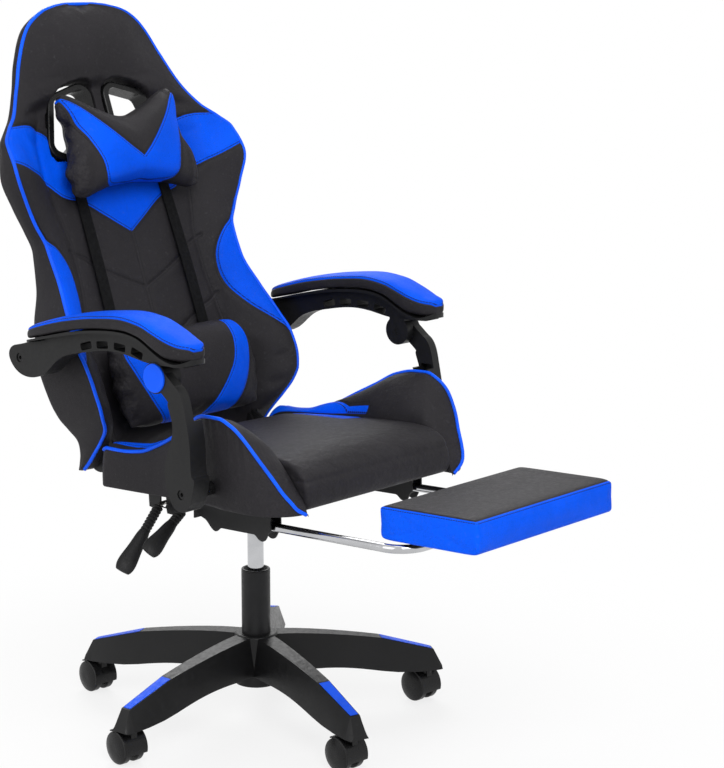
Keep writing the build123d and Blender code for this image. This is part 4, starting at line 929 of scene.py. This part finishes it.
# ---------------------------------------------------------------- pillows
@dataclass(frozen=True)
class Gathers:
    """Folds of a pillow's drawn-in ends, in millimetres.

    They grow outwards from start and fade out forward of front. waves are the (length, phase) of the two rows
    of folds, slant turns the first, and crease is (everywhere, more at the ends, from, over).
    """

    start: float
    front: float
    depth: float
    waves: tuple[tuple[float, float], tuple[float, float]]
    slant: float
    crease: tuple[float, float, float, float]

    def draw_in(self, spots: np.ndarray) -> None:
        """Moves places on the back inwards by the folds."""
        x, along, forward = np.abs(spots[:, 0]), spots[:, 1], spots[:, 2]
        (long, phase), (short, other) = self.waves
        fold = np.sin(along / long + phase + self.slant * x) + 0.6 * np.sin(along / short + other)
        gusset = smooth((x - self.start) / 22) * smooth((self.front - forward) / 20)
        spots[:, 0] -= np.sign(spots[:, 0]) * gusset * self.depth * (1 + fold)


@dataclass(frozen=True)
class Pillow:
    """Pillow of two sheets that meet in a seam round its outline, lying on the back.

    seam is the forward place of that seam, grid the points across and along, groove the depth of the stripe's
    seams, and inner and outer are the stripe's (x, along) edges, read at counts points each.
    """

    finishes: Finishes
    name: str
    node: str
    fill: float
    seam: float
    grid: tuple[int, int]
    gathers: Gathers
    groove: float
    inner: tuple
    outer: tuple
    counts: tuple[int, int]
    resting: float = 28.0
    rear: float = 23.0
    face: float = 50.0

    def edges(self, a: np.ndarray, b: np.ndarray) -> tuple[np.ndarray, np.ndarray]:
        """Outline: (x, along) of places (a, b) in a square from -1 to 1."""
        raise NotImplementedError

    def depth(self, a: np.ndarray, b: np.ndarray) -> tuple[np.ndarray, np.ndarray]:
        """Swell: front and rear distance from the seam's plane at places (a, b)."""
        raise NotImplementedError

    def sheets(self) -> bpy.types.Object:
        """Makes the closed mesh: a front and a rear grid that share their rims."""
        columns, lines = self.grid
        a, b = (np.sin(np.linspace(-1, 1, count) * math.pi / 2) for count in self.grid)
        a, b = np.meshgrid(a, b, indexing="ij")
        x, along = self.edges(a, b)
        front, rear = self.depth(a, b)
        number = np.arange(columns * lines).reshape(columns, lines)
        behind = number + columns * lines
        rim = np.ones_like(number, bool)
        rim[1:-1, 1:-1] = False
        behind[rim] = number[rim]
        faces = []
        for grid, turn in ((number, 1), (behind, -1)):
            quads = np.stack([grid[:-1, :-1], grid[1:, :-1], grid[1:, 1:], grid[:-1, 1:]], -1).reshape(-1, 4)
            faces += quads[:, ::turn].tolist()
        points = [from_back(x, along, self.seam + swell).reshape(-1, 3) for swell in (front, -rear)]
        item = new_object(self.name, np.concatenate(points), faces)
        work = bmesh.new()
        work.from_mesh(item.data)
        bmesh.ops.delete(work, geom=[v for v in work.verts if not v.link_faces], context="VERTS")
        work.to_mesh(item.data)
        work.free()
        return item

    def build(self) -> None:
        """Makes the pillow, with its stripe and its gathered ends."""
        item = self.sheets()
        puff(item, np.where(to_back(read_points(item))[:, 2] < self.resting, 1.0, 0.0), cap=5.0, pressure=3.0)
        spots = to_back(read_points(item))
        self.gathers.draw_in(spots)
        write_points(item, from_back(spots[:, 0], spots[:, 1], np.maximum(spots[:, 2], self.rear)))
        subdivide(item)
        x, along, forward = to_back(read_points(item)).T
        flat = np.stack([np.abs(x), along], 1)
        lines = [curve(line, count) for line, count in zip((self.inner, self.outer), self.counts)]
        press_seams(item, paint_seams(item, flat, lines, forward > self.face), self.groove, 3.0)
        stripe = inside_depth(flat, np.vstack([lines[0], lines[1][::-1]]))
        paint(item, "blue", np.where(forward > self.face, stripe, OFF_BLUE))
        everywhere, more, start, over = self.gathers.crease
        paint(item, "crease", everywhere + more * smooth((flat[:, 0] - start) / over))
        self.finishes.dress(item, "two_tone_leather")
        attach(item, "back")
        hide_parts(self.node)


@dataclass(frozen=True)
class HeadPillow(Pillow):
    """Butterfly-shaped head pillow; top, bottom and side are its outline by the place in the square."""

    name: str = "head_pillow_cover"
    node: str = "head_pillow"
    fill: float = 0.8
    seam: float = 56.0
    grid: tuple[int, int] = (64, 48)
    gathers: Gathers = Gathers(104, 78, 3.0, ((5.2, 0), (8.9, 1.3)), 0.05, (0.35, 3.2, 106, 22))
    groove: float = 2.0
    inner: tuple = ((0, 488), (30, 513), (79, 560), (112, 594), (136, 612))
    outer: tuple = ((0, 450), (40, 447), (80, 450), (92, 488), (106, 525), (119, 556), (128, 584), (138, 612))
    counts: tuple[int, int] = (40, 60)
    top: tuple = (
        (-1, 606), (-0.9, 619), (-0.72, 611), (-0.45, 593), (0, 576), (0.45, 593), (0.72, 611), (0.9, 619),
        (1, 606),
    )
    bottom: tuple = ((-1, 434), (-0.9, 430), (-0.5, 441), (0, 447), (0.5, 441), (0.9, 430), (1, 434))
    side: tuple = (
        (-1, 147), (-0.8, 152), (-0.4, 150), (0, 136), (0.3, 132), (0.6, 138), (0.9, 144), (1, 138),
    )

    def edges(self, a: np.ndarray, b: np.ndarray) -> tuple[np.ndarray, np.ndarray]:
        """Outline that is widest at its four corners."""
        high, low = table(self.top, a, 1), table(self.bottom, a, 1)
        return a * table(self.side, b, 1), low + (high - low) * (b + 1) / 2

    def depth(self, a: np.ndarray, b: np.ndarray) -> tuple[np.ndarray, np.ndarray]:
        """Swell that is pinched at the middle of the top."""
        full = (np.clip(1 - np.abs(a) ** 3.0, 0, 1) * np.clip(1 - np.abs(b) ** 2.8, 0, 1)) ** 0.45
        return full * 42 * (1 - 0.10 * np.exp(-((a / 0.35) ** 2)) * smooth(b)), full * 31


@dataclass(frozen=True)
class LumbarPillow(Pillow):
    """Lumbar pillow: a thick roll, fullest near its top, with drawn-in ends."""

    name: str = "lumbar_pillow_cover"
    node: str = "lumbar_pillow"
    fill: float = 0.85
    seam: float = 58.0
    grid: tuple[int, int] = (72, 44)
    gathers: Gathers = Gathers(132, 90, 2.4, ((5.6, 0), (9.3, 0.7)), 0, (0.4, 2.8, 128, 25))
    groove: float = 1.8
    inner: tuple = ((106, 196), (102, 170), (99, 140), (89, 110), (72, 86), (49, 60), (27, 38), (5, 20))
    outer: tuple = ((128, 196), (142, 168), (147, 148), (142, 125), (128, 90), (109, 56), (86, 28), (66, 12))
    counts: tuple[int, int] = (50, 50)
    middle: float = 104.0
    half_width: float = 168.0
    half_height: float = 84.0

    def edges(self, a: np.ndarray, b: np.ndarray) -> tuple[np.ndarray, np.ndarray]:
        """Oblong outline, narrower at its corners."""
        height = self.half_height * (1 - 0.10 * np.abs(a) ** 4)
        return a * self.half_width * (1 - 0.09 * np.abs(b) ** 3), self.middle + b * height

    def depth(self, a: np.ndarray, b: np.ndarray) -> tuple[np.ndarray, np.ndarray]:
        """Swell that grows towards the top."""
        full = (np.clip(1 - np.abs(a) ** 3.6, 0, 1) * np.clip(1 - np.abs(b) ** 2.4, 0, 1)) ** 0.5
        return full * (40 + 12 * b), full * 36


# ---------------------------------------------------------------- seat
SEAT_WEDGE = np.array([
    (177, 170), (178, 112), (165, 60), (152, 3), (138, -80), (182, -98), (182, -52), (207, 25), (206, 60),
    (206, 110), (203, 170),
], float)


@dataclass(frozen=True)
class SeatWing:
    """Upholstered side of the seat: a piped ridge, an outer wall and an inner slope with its blue wedge.

    In millimetres, ridge is (y, x, z) of the piped edge, foot is (y, z) where the inner slope meets the
    cushion, base is (y, x) of the outer wall's lower edge, inner is the x of the inner wall, and spacer is
    the (y, z) of the arm post's spacer, round which the cover stays flat.
    """

    finishes: Finishes
    side: int
    word: str
    ridge: tuple = (
        (-288, 176, 444), (-287, 190, 450), (-285.5, 206, 463), (-274, 219, 484), (-258, 229, 510),
        (-240, 241, 539), (-214, 250, 571), (-193, 252, 585), (-169, 253, 593), (-139, 251, 592),
        (-110, 241, 585), (-79, 226, 566), (-36, 214, 542), (15, 211, 515), (56, 214, 499), (97, 219, 495),
        (130, 221, 495), (141, 219, 488),
    )
    foot: tuple = (
        (-288, 443), (-281, 462), (-265, 480), (-250, 497), (-235, 512), (-215, 526), (-160, 526),
        (-100, 523), (-50, 518), (0, 513), (40, 509), (75, 505), (100, 501), (120, 494), (141, 478),
    )
    base: tuple = (
        (-288, 180), (-285, 198), (-274, 217), (-258, 231), (-240, 240), (-214, 244), (-169, 242),
        (-133, 234), (-100, 229), (0, 227), (130, 228), (141, 222),
    )
    inner: float = 178.2
    spacer: tuple[float, float] = (-139, 477)
    cord_radius: float = 3.0

    def section(self, y: np.ndarray) -> tuple[np.ndarray, np.ndarray]:
        """Closed sections: outer wall, inner slope with a dome at the rear, inner wall and underside.

        Args:
            y: places along the seat.

        Returns:
            x and z of each point, as (section, point).
        """
        y = y[:, None]
        ridge_x, ridge_z = table(self.ridge, y, 1), table(self.ridge, y, 2)
        foot_z, base_x = table(self.foot, y, 1), table(self.base, y, 1)
        low = seat_level(y) + 0.8
        up, q, down, across = steps(18, 0), steps(22) ** 1.1, steps(9), steps(7)[:, :-1]
        bulge = 3.0 * np.sin(up * math.pi) * np.clip((ridge_z - low) / 100, 0, 1)
        dome = 9 * smooth((y + 60) / 90) * np.sin(math.pi * q)
        wall_x, wall_z = base_x + (ridge_x - base_x) * up + bulge, low + (ridge_z - low) * up
        slope_x = ridge_x + (self.inner - ridge_x) * q
        slope_z = foot_z + (ridge_z - foot_z) * (1 - q**1.9) ** 0.62 + dome
        down_z = foot_z + (low - foot_z) * down
        under_x = self.inner + (base_x - self.inner) * across
        return (
            np.concatenate([wall_x, slope_x, self.inner + 0 * down_z, under_x], 1),
            np.concatenate([wall_z, slope_z, down_z, low + 0 * under_x], 1),
        )

    def build(self) -> None:
        """Makes the wing cover and its piping."""
        spans = ((-288, -274, 12), (-270, 134, 106), (137, 141, 3))
        y = np.concatenate([np.linspace(*span) for span in spans])
        x, z = self.section(y)
        cover = loft(f"seat_wing_cover_{self.word}", np.stack([self.side * x, y[:, None] + 0 * x, z], -1))
        points = read_points(cover)
        inside = np.abs(points[:, 0]) < self.inner + 5
        bottom = points[:, 2] < seat_level(points[:, 1]) + 8
        edge = distance_to_line(points[:, 1:], np.stack([y, table(self.ridge, y, 2)], 1))[0] < 6
        spacer = np.hypot(points[:, 1] - self.spacer[0], points[:, 2] - self.spacer[1]) < 20
        puff(cover, np.where(inside | bottom | spacer | edge, 1.0, 0.0), cap=5.0, pressure=3.0)
        subdivide(cover)
        self.detail(cover)
        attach(cover, "seat")
        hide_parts(f"seat_wing_{self.word}")
        self.piping()

    def detail(self, cover: bpy.types.Object) -> None:
        """Gathers the cover below its ridge, and stores its colours, seams and creases."""
        points = read_points(cover)
        x, y, z = np.abs(points[:, 0]), points[:, 1], points[:, 2]
        outer = x > table(self.ridge, y, 1) - 1.5
        below = np.clip(table(self.ridge, y, 2) - z, 0, 200)
        ear = smooth((-95 - y) / 30) * smooth((y + 268) / 25)
        waves = smooth(below / 6) * np.exp(-below / 26) * np.sin(y / 2.6 + below * 0.05)
        gathers = 0.9 * np.where(outer, ear * waves, 0.0)
        write_points(cover, points - read_normals(cover) * gathers[:, None])
        flat = np.stack([x, y], 1)
        on_top = (~outer) & (z > table(self.foot, y, 1) - 2)
        press_seams(cover, paint_seams(cover, flat, [SEAT_WEDGE[5:]], on_top), 1.2, 2.6)
        paint(cover, "blue", np.where(on_top, inside_depth(flat, SEAT_WEDGE), -20.0))
        folds = 0.35 + 1.2 * ear * np.where(outer, np.exp(-below / 40), 0.3) + 1.3 * smooth((-225 - y) / 30)
        paint(cover, "crease", folds)
        self.finishes.dress(cover, "two_tone_leather")

    def piping(self) -> None:
        """Blue cord along the wing's ridge and down to the front corner."""
        y = np.concatenate([np.linspace(138, -268, 110), np.linspace(-271, -287.6, 14)])
        path = np.stack([self.side * (table(self.ridge, y, 1) + 0.6), y, table(self.ridge, y, 2) + 1.0], 1)
        cord = tube(f"seat_wing_piping_{self.word}", curve(path, 220), self.cord_radius)
        self.finishes.dress(cord, "blue_piping")
        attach(cord, "seat")


def block_rows(profile: np.ndarray, half: float, edge: float, count: int) -> np.ndarray:
    """Rings across a cushion: one side profile repeated along x, drawn in by a quarter circle at its ends.

    Args:
        profile: closed ring of (y, z).
        half: half length along x.
        edge: radius of the rounded ends.
        count: rings between the rounded ends.

    Returns:
        Rings as (ring, point, xyz).
    """
    turn = np.linspace(0, math.pi / 2, 7)
    end, draw = edge * (1 - np.cos(turn)), edge * (1 - np.sin(turn))
    x = np.concatenate([end - half, np.linspace(edge - half, half - edge, count)[1:-1], half - end[::-1]])
    draw = np.concatenate([draw, np.zeros(count - 2), draw[::-1]])
    ahead = np.roll(profile, -1, 0) - np.roll(profile, 1, 0)
    normal = np.stack([-ahead[:, 1], ahead[:, 0]], 1)
    normal /= np.maximum(np.linalg.norm(normal, axis=1), 1e-9)[:, None]
    area = np.sum(profile[:, 0] * np.roll(profile[:, 1], -1) - np.roll(profile[:, 0], -1) * profile[:, 1])
    rings = profile[None] + np.sign(area) * normal[None] * draw[:, None, None]
    return np.concatenate([np.repeat(x[:, None, None], len(profile), 1), rings], -1)


@dataclass(frozen=True)
class SeatCushion:
    """Seat cushion between the wings; side_view is its outline, (y, z) in millimetres."""

    finishes: Finishes
    side_view: tuple = (
        (128, 432), (60, 434.5), (0, 436.5), (-100, 441.5), (-200, 445.5), (-262, 448.5), (-280, 452),
        (-286.5, 465), (-284, 490), (-274, 510), (-252, 522), (-215, 526.5), (-150, 524), (-90, 519.5),
        (-20, 513.5), (40, 507.5), (78, 502.5), (106, 494), (126, 480), (138, 466), (140, 450), (137, 436),
    )
    half_width: float = 176.6
    crown_width: float = 176.0
    corner: float = 9.0
    front_seam: float = 496.0

    def build(self) -> None:
        """Makes the cushion, crowned across its middle."""
        rows = block_rows(curve(self.side_view, 130, closed=True), self.half_width, self.corner, 60)
        crown = np.cos(np.clip(rows[..., 0] / self.crown_width, -1, 1) * math.pi / 2)
        rows[..., 2] += (3.0 * crown - 2.0) * smooth((rows[..., 2] - 470) / 40)
        cover = loft("seat_cushion_cover", rows)
        points = read_points(cover)
        bottom, sides = points[:, 2] < 456, np.abs(points[:, 0]) > 160
        puff(cover, np.where(bottom | sides, 1.0, 0.0), cap=4.0, pressure=2.0)
        subdivide(cover)
        x, y, z = read_points(cover).T
        flat = np.stack([np.abs(x), y], 1)
        is_front = (y < -268) & (z < 512)
        top = (z > 492) & ~is_front
        near = paint_seams(cover, flat, [SEAT_WEDGE[1:6]], top)
        near = np.minimum(near, np.where(is_front, np.abs(z - self.front_seam), FAR))
        paint(cover, "seam", near)
        press_seams(cover, near, 1.8, 3.2)
        paint(cover, "blue", np.where(top, inside_depth(flat, SEAT_WEDGE), OFF_BLUE))
        paint(cover, "crease", 0.35 + 0.9 * smooth((-180 - y) / 60))
        self.finishes.dress(cover, "two_tone_leather")
        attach(cover, "seat")
        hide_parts("seat_cushion")


def rounded(turn: np.ndarray, power: float) -> tuple[np.ndarray, np.ndarray]:
    """Cosine and sine of a turn, each raised to a power that squares the circle's corners."""
    return tuple(np.sign(part) * np.abs(part) ** power for part in (np.cos(turn), np.sin(turn)))


@dataclass(frozen=True)
class ArmPad:
    """Padded top of an armrest: blue above, black round its sides; top and low are (y, z) in millimetres."""

    finishes: Finishes
    side: int
    word: str
    top: tuple = (
        (-166, 708), (-160, 715), (-140, 721), (-105, 734), (-65, 745.5), (-20, 749.5), (36, 744.5),
        (106, 733.5), (178, 715.5), (214, 703), (226, 692),
    )
    low: tuple = (
        (-166, 692), (-148, 687), (-120, 688.5), (-97, 697.8), (-60, 715.8), (-22, 721.8), (36, 718.8),
        (117, 705.8), (196, 686.8), (226, 680.3),
    )
    middle: tuple[float, float] = (291.0, 30.25)
    half_width: float = 35.0
    half_length: float = 196.5
    seam_share: float = 0.26

    def build(self) -> None:
        """Makes the pad: squared ovals between the two curves, narrowed towards both tips."""
        spans = ((-165.5, -150, 7), (-146, 212, 80), (215, 226, 6))
        y = np.concatenate([np.linspace(*span) for span in spans])[:, None]
        top, low = table(self.top, y, 1), table(self.low, y, 1) + 0.3
        reach = np.abs(np.clip((y - self.middle[1]) / self.half_length, -1, 1))
        width = self.half_width * np.clip(1 - reach**7, 0.04, 1) ** 0.4
        turn = np.linspace(-math.pi / 2, 1.5 * math.pi, 44, endpoint=False)
        x = self.middle[0] + width * rounded(turn, 0.42)[0]
        z = (top + low) / 2 + (top - low) / 2 * rounded(turn, 0.62)[1]
        cover = loft(f"arm_pad_cover_{self.word}", np.stack([self.side * x, y + 0 * x, z], -1), 2)
        points = read_points(cover)
        resting = points[:, 2] < table(self.low, points[:, 1], 1) + 9
        puff(cover, np.where(resting, 1.0, 0.0), cap=2.5, pressure=2.0)
        subdivide(cover)
        _, y, z = read_points(cover).T
        top, low = table(self.top, y, 1), table(self.low, y, 1)
        above = z - (top - self.seam_share * (top - low))
        paint(cover, "seam", np.abs(above))
        paint(cover, "along", y)
        press_seams(cover, np.abs(above), 1.2, 2.2)
        paint(cover, "blue", above)
        paint(cover, "crease", np.full(len(y), 0.3))
        self.finishes.dress(cover, "two_tone_leather")
        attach(cover, f"arm_{self.word}")
        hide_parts(f"arm_pad_{self.word}")


@dataclass(frozen=True)
class FootrestPad:
    """Box-edged pad of the footrest: black top, blue sides.

    In millimetres from the pad's tilted middle plane, seam is the level of the upper edge's seam, and under
    is the depth at which the blue sides end.
    """

    finishes: Finishes
    tilt: float = math.radians(2.5)
    thick: float = 27.3
    half_width: float = 170.0
    corner: float = 4.5
    seam: float = 25.0
    under: float = 27.0

    def build(self) -> None:
        """Makes the pad from its CAD piece's place: a squared oval, tilted and carried across."""
        low, high = (np.array(corner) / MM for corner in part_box("footrest_pad"))
        middle = (low + high)[1:] / 2 - (0, 0.5)
        cos, sin = rounded(np.linspace(-math.pi, math.pi, 96, endpoint=False), 0.17)
        reach, rise = cos * ((high[1] - low[1]) / 2 - 2.5), sin * self.thick
        y = middle[0] + reach * math.cos(self.tilt) + rise * math.sin(self.tilt)
        z = middle[1] - reach * math.sin(self.tilt) + rise * math.cos(self.tilt)
        profile = curve(np.stack([y, z], 1), 110, closed=True)
        cover = loft("footrest_pad_cover", block_rows(profile, self.half_width, self.corner, 46), 4)
        level = self.level(read_points(cover), middle)
        edges, resting = np.abs(np.abs(level) - self.seam) < 2.5, level < 5 - self.thick
        puff(cover, np.where(resting, 1.0, 0.0) + np.where(edges, 1.0, 0.0), cap=4.0, pressure=2.5)
        subdivide(cover)
        points = read_points(cover)
        level = self.level(points, middle)
        near = np.abs(level - self.seam)
        paint(cover, "seam", near)
        paint(cover, "along", points[:, 0] + points[:, 1])
        press_seams(cover, near, 1.3, 2.4)
        paint(cover, "blue", np.minimum(self.seam - level, level + self.under))
        paint(cover, "crease", 0.3 + 0.9 * smooth((np.abs(points[:, 0]) - 130) / 30))
        self.finishes.dress(cover, "two_tone_leather")
        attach(cover, "footrest_board")
        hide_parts("footrest_pad")

    def level(self, points: np.ndarray, middle: np.ndarray) -> np.ndarray:
        """Height of points over the pad's tilted middle plane."""
        up, back = points[:, 2] - middle[1], points[:, 1] - middle[0]
        return up * math.cos(self.tilt) + back * math.sin(self.tilt)


# ---------------------------------------------------------------- the chair and its room
class Chair:
    """All pieces of the chair; hard lists the CAD pieces by finish, apart from the casters."""

    hard = {
        "base_plastic": ("star_base",),
        "blue_inlay": ("leg_inserts",),
        "powder_steel": (
            "column_tube", "swivel_plate", "seat_frame", "recliners", "guide_brackets", "lever_bracket",
            "back_frame",
        ),
        "chrome_steel": ("piston_rod", "gas_cylinder", "footrest_tube"),
        "zinc_steel": (
            "plate_bolts", "lift_lever_pin", "recline_lever_pin", "release_pin", "lift_lever_rod",
            "recline_lever_rod",
        ),
        "nylon": ("column_bush", "guide_bushes", "rail_plugs"),
        "gloss_black": ("post_bolts", "belt_grommet_left", "belt_grommet_right", "arm_bolts"),
        "grip_rubber": ("lift_lever_grip", "recline_lever_grip"),
        "arm_plastic": (
            "arm_post_left", "arm_post_right", "arm_frame_left", "arm_frame_right", "footrest_board",
            "footrest_clips",
        ),
        "pin_cap": ("knuckle_pin_left", "knuckle_pin_right"),
    }

    def __init__(self) -> None:
        self.finishes = Finishes()

    def build(self) -> None:
        """Makes every piece."""
        self.finish_frame()
        for piece in (Back, HeadPillow, LumbarPillow, SeatCushion):
            piece(self.finishes).build()
        for side, word in SIDES:
            SeatWing(self.finishes, side, word).build()
            ArmPad(self.finishes, side, word).build()
        FootrestPad(self.finishes).build()

    def finish_frame(self) -> None:
        """Gives every CAD piece its finish."""
        wanted = {name: finish for finish, names in self.hard.items() for name in names}
        for name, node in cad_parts.items():
            usual = "nylon" if name.startswith("caster") else "base_plastic"
            self.finishes.dress(node, wanted.get(name, usual))


def seen(s: Shader) -> Socket:
    """One for rays that show the background itself: direct, in a reflection or through something clear."""
    rays = s.add("ShaderNodeLightPath").outputs
    total = s.math("ADD", rays["Is Camera Ray"], rays["Is Glossy Ray"])
    return s.math("MINIMUM", s.math("ADD", total, rays["Is Transmission Ray"]), 1.0)


class Studio:
    """Floor, lights, world and camera."""

    middle = Vector((0, 0, 0.6))

    def build(self) -> None:
        """Makes the room."""
        self.floor()
        self.lights()
        self.world()
        self.camera()

    def floor(self) -> None:
        """Pale plain floor."""
        bpy.ops.mesh.primitive_plane_add(size=60, location=(0, 0, -0.0005))
        floor = bpy.context.object
        floor.name = "floor"
        material = bpy.data.materials.new("floor")
        material.use_nodes = True
        s = Shader(material.node_tree)
        tint = s.remap(s.noise(2.0, 3.0), 0.3, 0.7, 0.84, 0.88)
        colour = s.add("ShaderNodeCombineColor", {0: tint, 1: tint, 2: tint})
        body = s.add("ShaderNodeBsdfPrincipled", {"Base Color": colour.outputs[0], "Roughness": 0.6})
        spread = s.add("ShaderNodeVectorMath", {0: s.place()}, operation="LENGTH").outputs["Value"]
        white = s.add("ShaderNodeEmission", {0: (1, 1, 1, 1), 1: 1.0})
        fade = s.math("MULTIPLY", s.remap(spread, 0.35, 1.1, 0.80, 1.0), seen(s))
        both = s.add("ShaderNodeMixShader", {0: fade, 1: body.outputs[0], 2: white.outputs[0]})
        s.add("ShaderNodeOutputMaterial", {0: both.outputs[0]})
        floor.data.materials.append(material)

    def lights(self) -> None:
        """Soft key, fill, rim and top lights, by place, width and power."""
        for name, place, size, power in (
            ("key", (-1.6, -2.6, 3.0), 2.2, 90.0),
            ("fill", (-3.0, 0.6, 1.8), 2.4, 26.0),
            ("rim", (1.8, 2.2, 2.6), 1.8, 42.0),
            ("top", (0.2, -0.4, 3.4), 2.4, 14.0),
        ):
            light = bpy.data.lights.new(name, "AREA")
            light.energy, light.size = power, size
            lamp = bpy.data.objects.new(name, light)
            lamp.location = place
            lamp.rotation_euler = (self.middle - Vector(place)).to_track_quat("-Z", "Y").to_euler()
            bpy.context.scene.collection.objects.link(lamp)

    def world(self) -> None:
        """White background, and a soft grey gradient that lights the chair."""
        world = bpy.data.worlds.new("room")
        bpy.context.scene.world = world
        world.use_nodes = True
        s = Shader(world.node_tree)
        ray = s.add("ShaderNodeNewGeometry").outputs["Incoming"]
        down = s.add("ShaderNodeSeparateXYZ", {0: ray}).outputs[2]
        shade = s.remap(s.math("MULTIPLY", down, -1.0), -0.2, 0.9, 0.30, 0.85)
        room = s.add("ShaderNodeCombineColor", {0: shade, 1: shade, 2: shade}).outputs[0]
        soft = s.add("ShaderNodeBackground", {0: room, 1: 0.55})
        white = s.add("ShaderNodeBackground", {0: (1, 1, 1, 1), 1: 1.0})
        both = s.add("ShaderNodeMixShader", {0: seen(s), 1: soft.outputs[0], 2: white.outputs[0]})
        s.add("ShaderNodeOutputWorld", {0: both.outputs[0]})

    def camera(self) -> None:
        """Camera from the sitter's front right, slightly above, with the chair left of the frame's middle."""
        scene = bpy.context.scene
        lens = bpy.data.cameras.new("camera")
        lens.sensor_fit = "HORIZONTAL"
        lens.sensor_width, lens.lens = 36.0, 101.7796
        lens.shift_x, lens.shift_y = 0.1494475, -0.0085635
        distance, roll = 3.4656, math.radians(-0.49)
        toward = Vector((-0.7031, -0.6844, 0.1920)).normalized()
        right = Vector((0.6977, -0.7164, 0)).normalized()
        up = toward.cross(right).normalized()
        side = right * math.cos(roll) + up * math.sin(roll)
        top = up * math.cos(roll) - right * math.sin(roll)
        camera = bpy.data.objects.new("camera", lens)
        place = self.middle + toward * distance
        columns = [(*side, 0), (*top, 0), (*toward, 0), (*place, 1)]
        camera.matrix_world = Matrix(columns).transposed()
        scene.collection.objects.link(camera)
        scene.camera = camera
        scene.view_settings.view_transform = "Standard"


def main() -> None:
    """Builds the scene."""
    Studio().build()
    Chair().build()


if __name__ == "__main__":
    main()
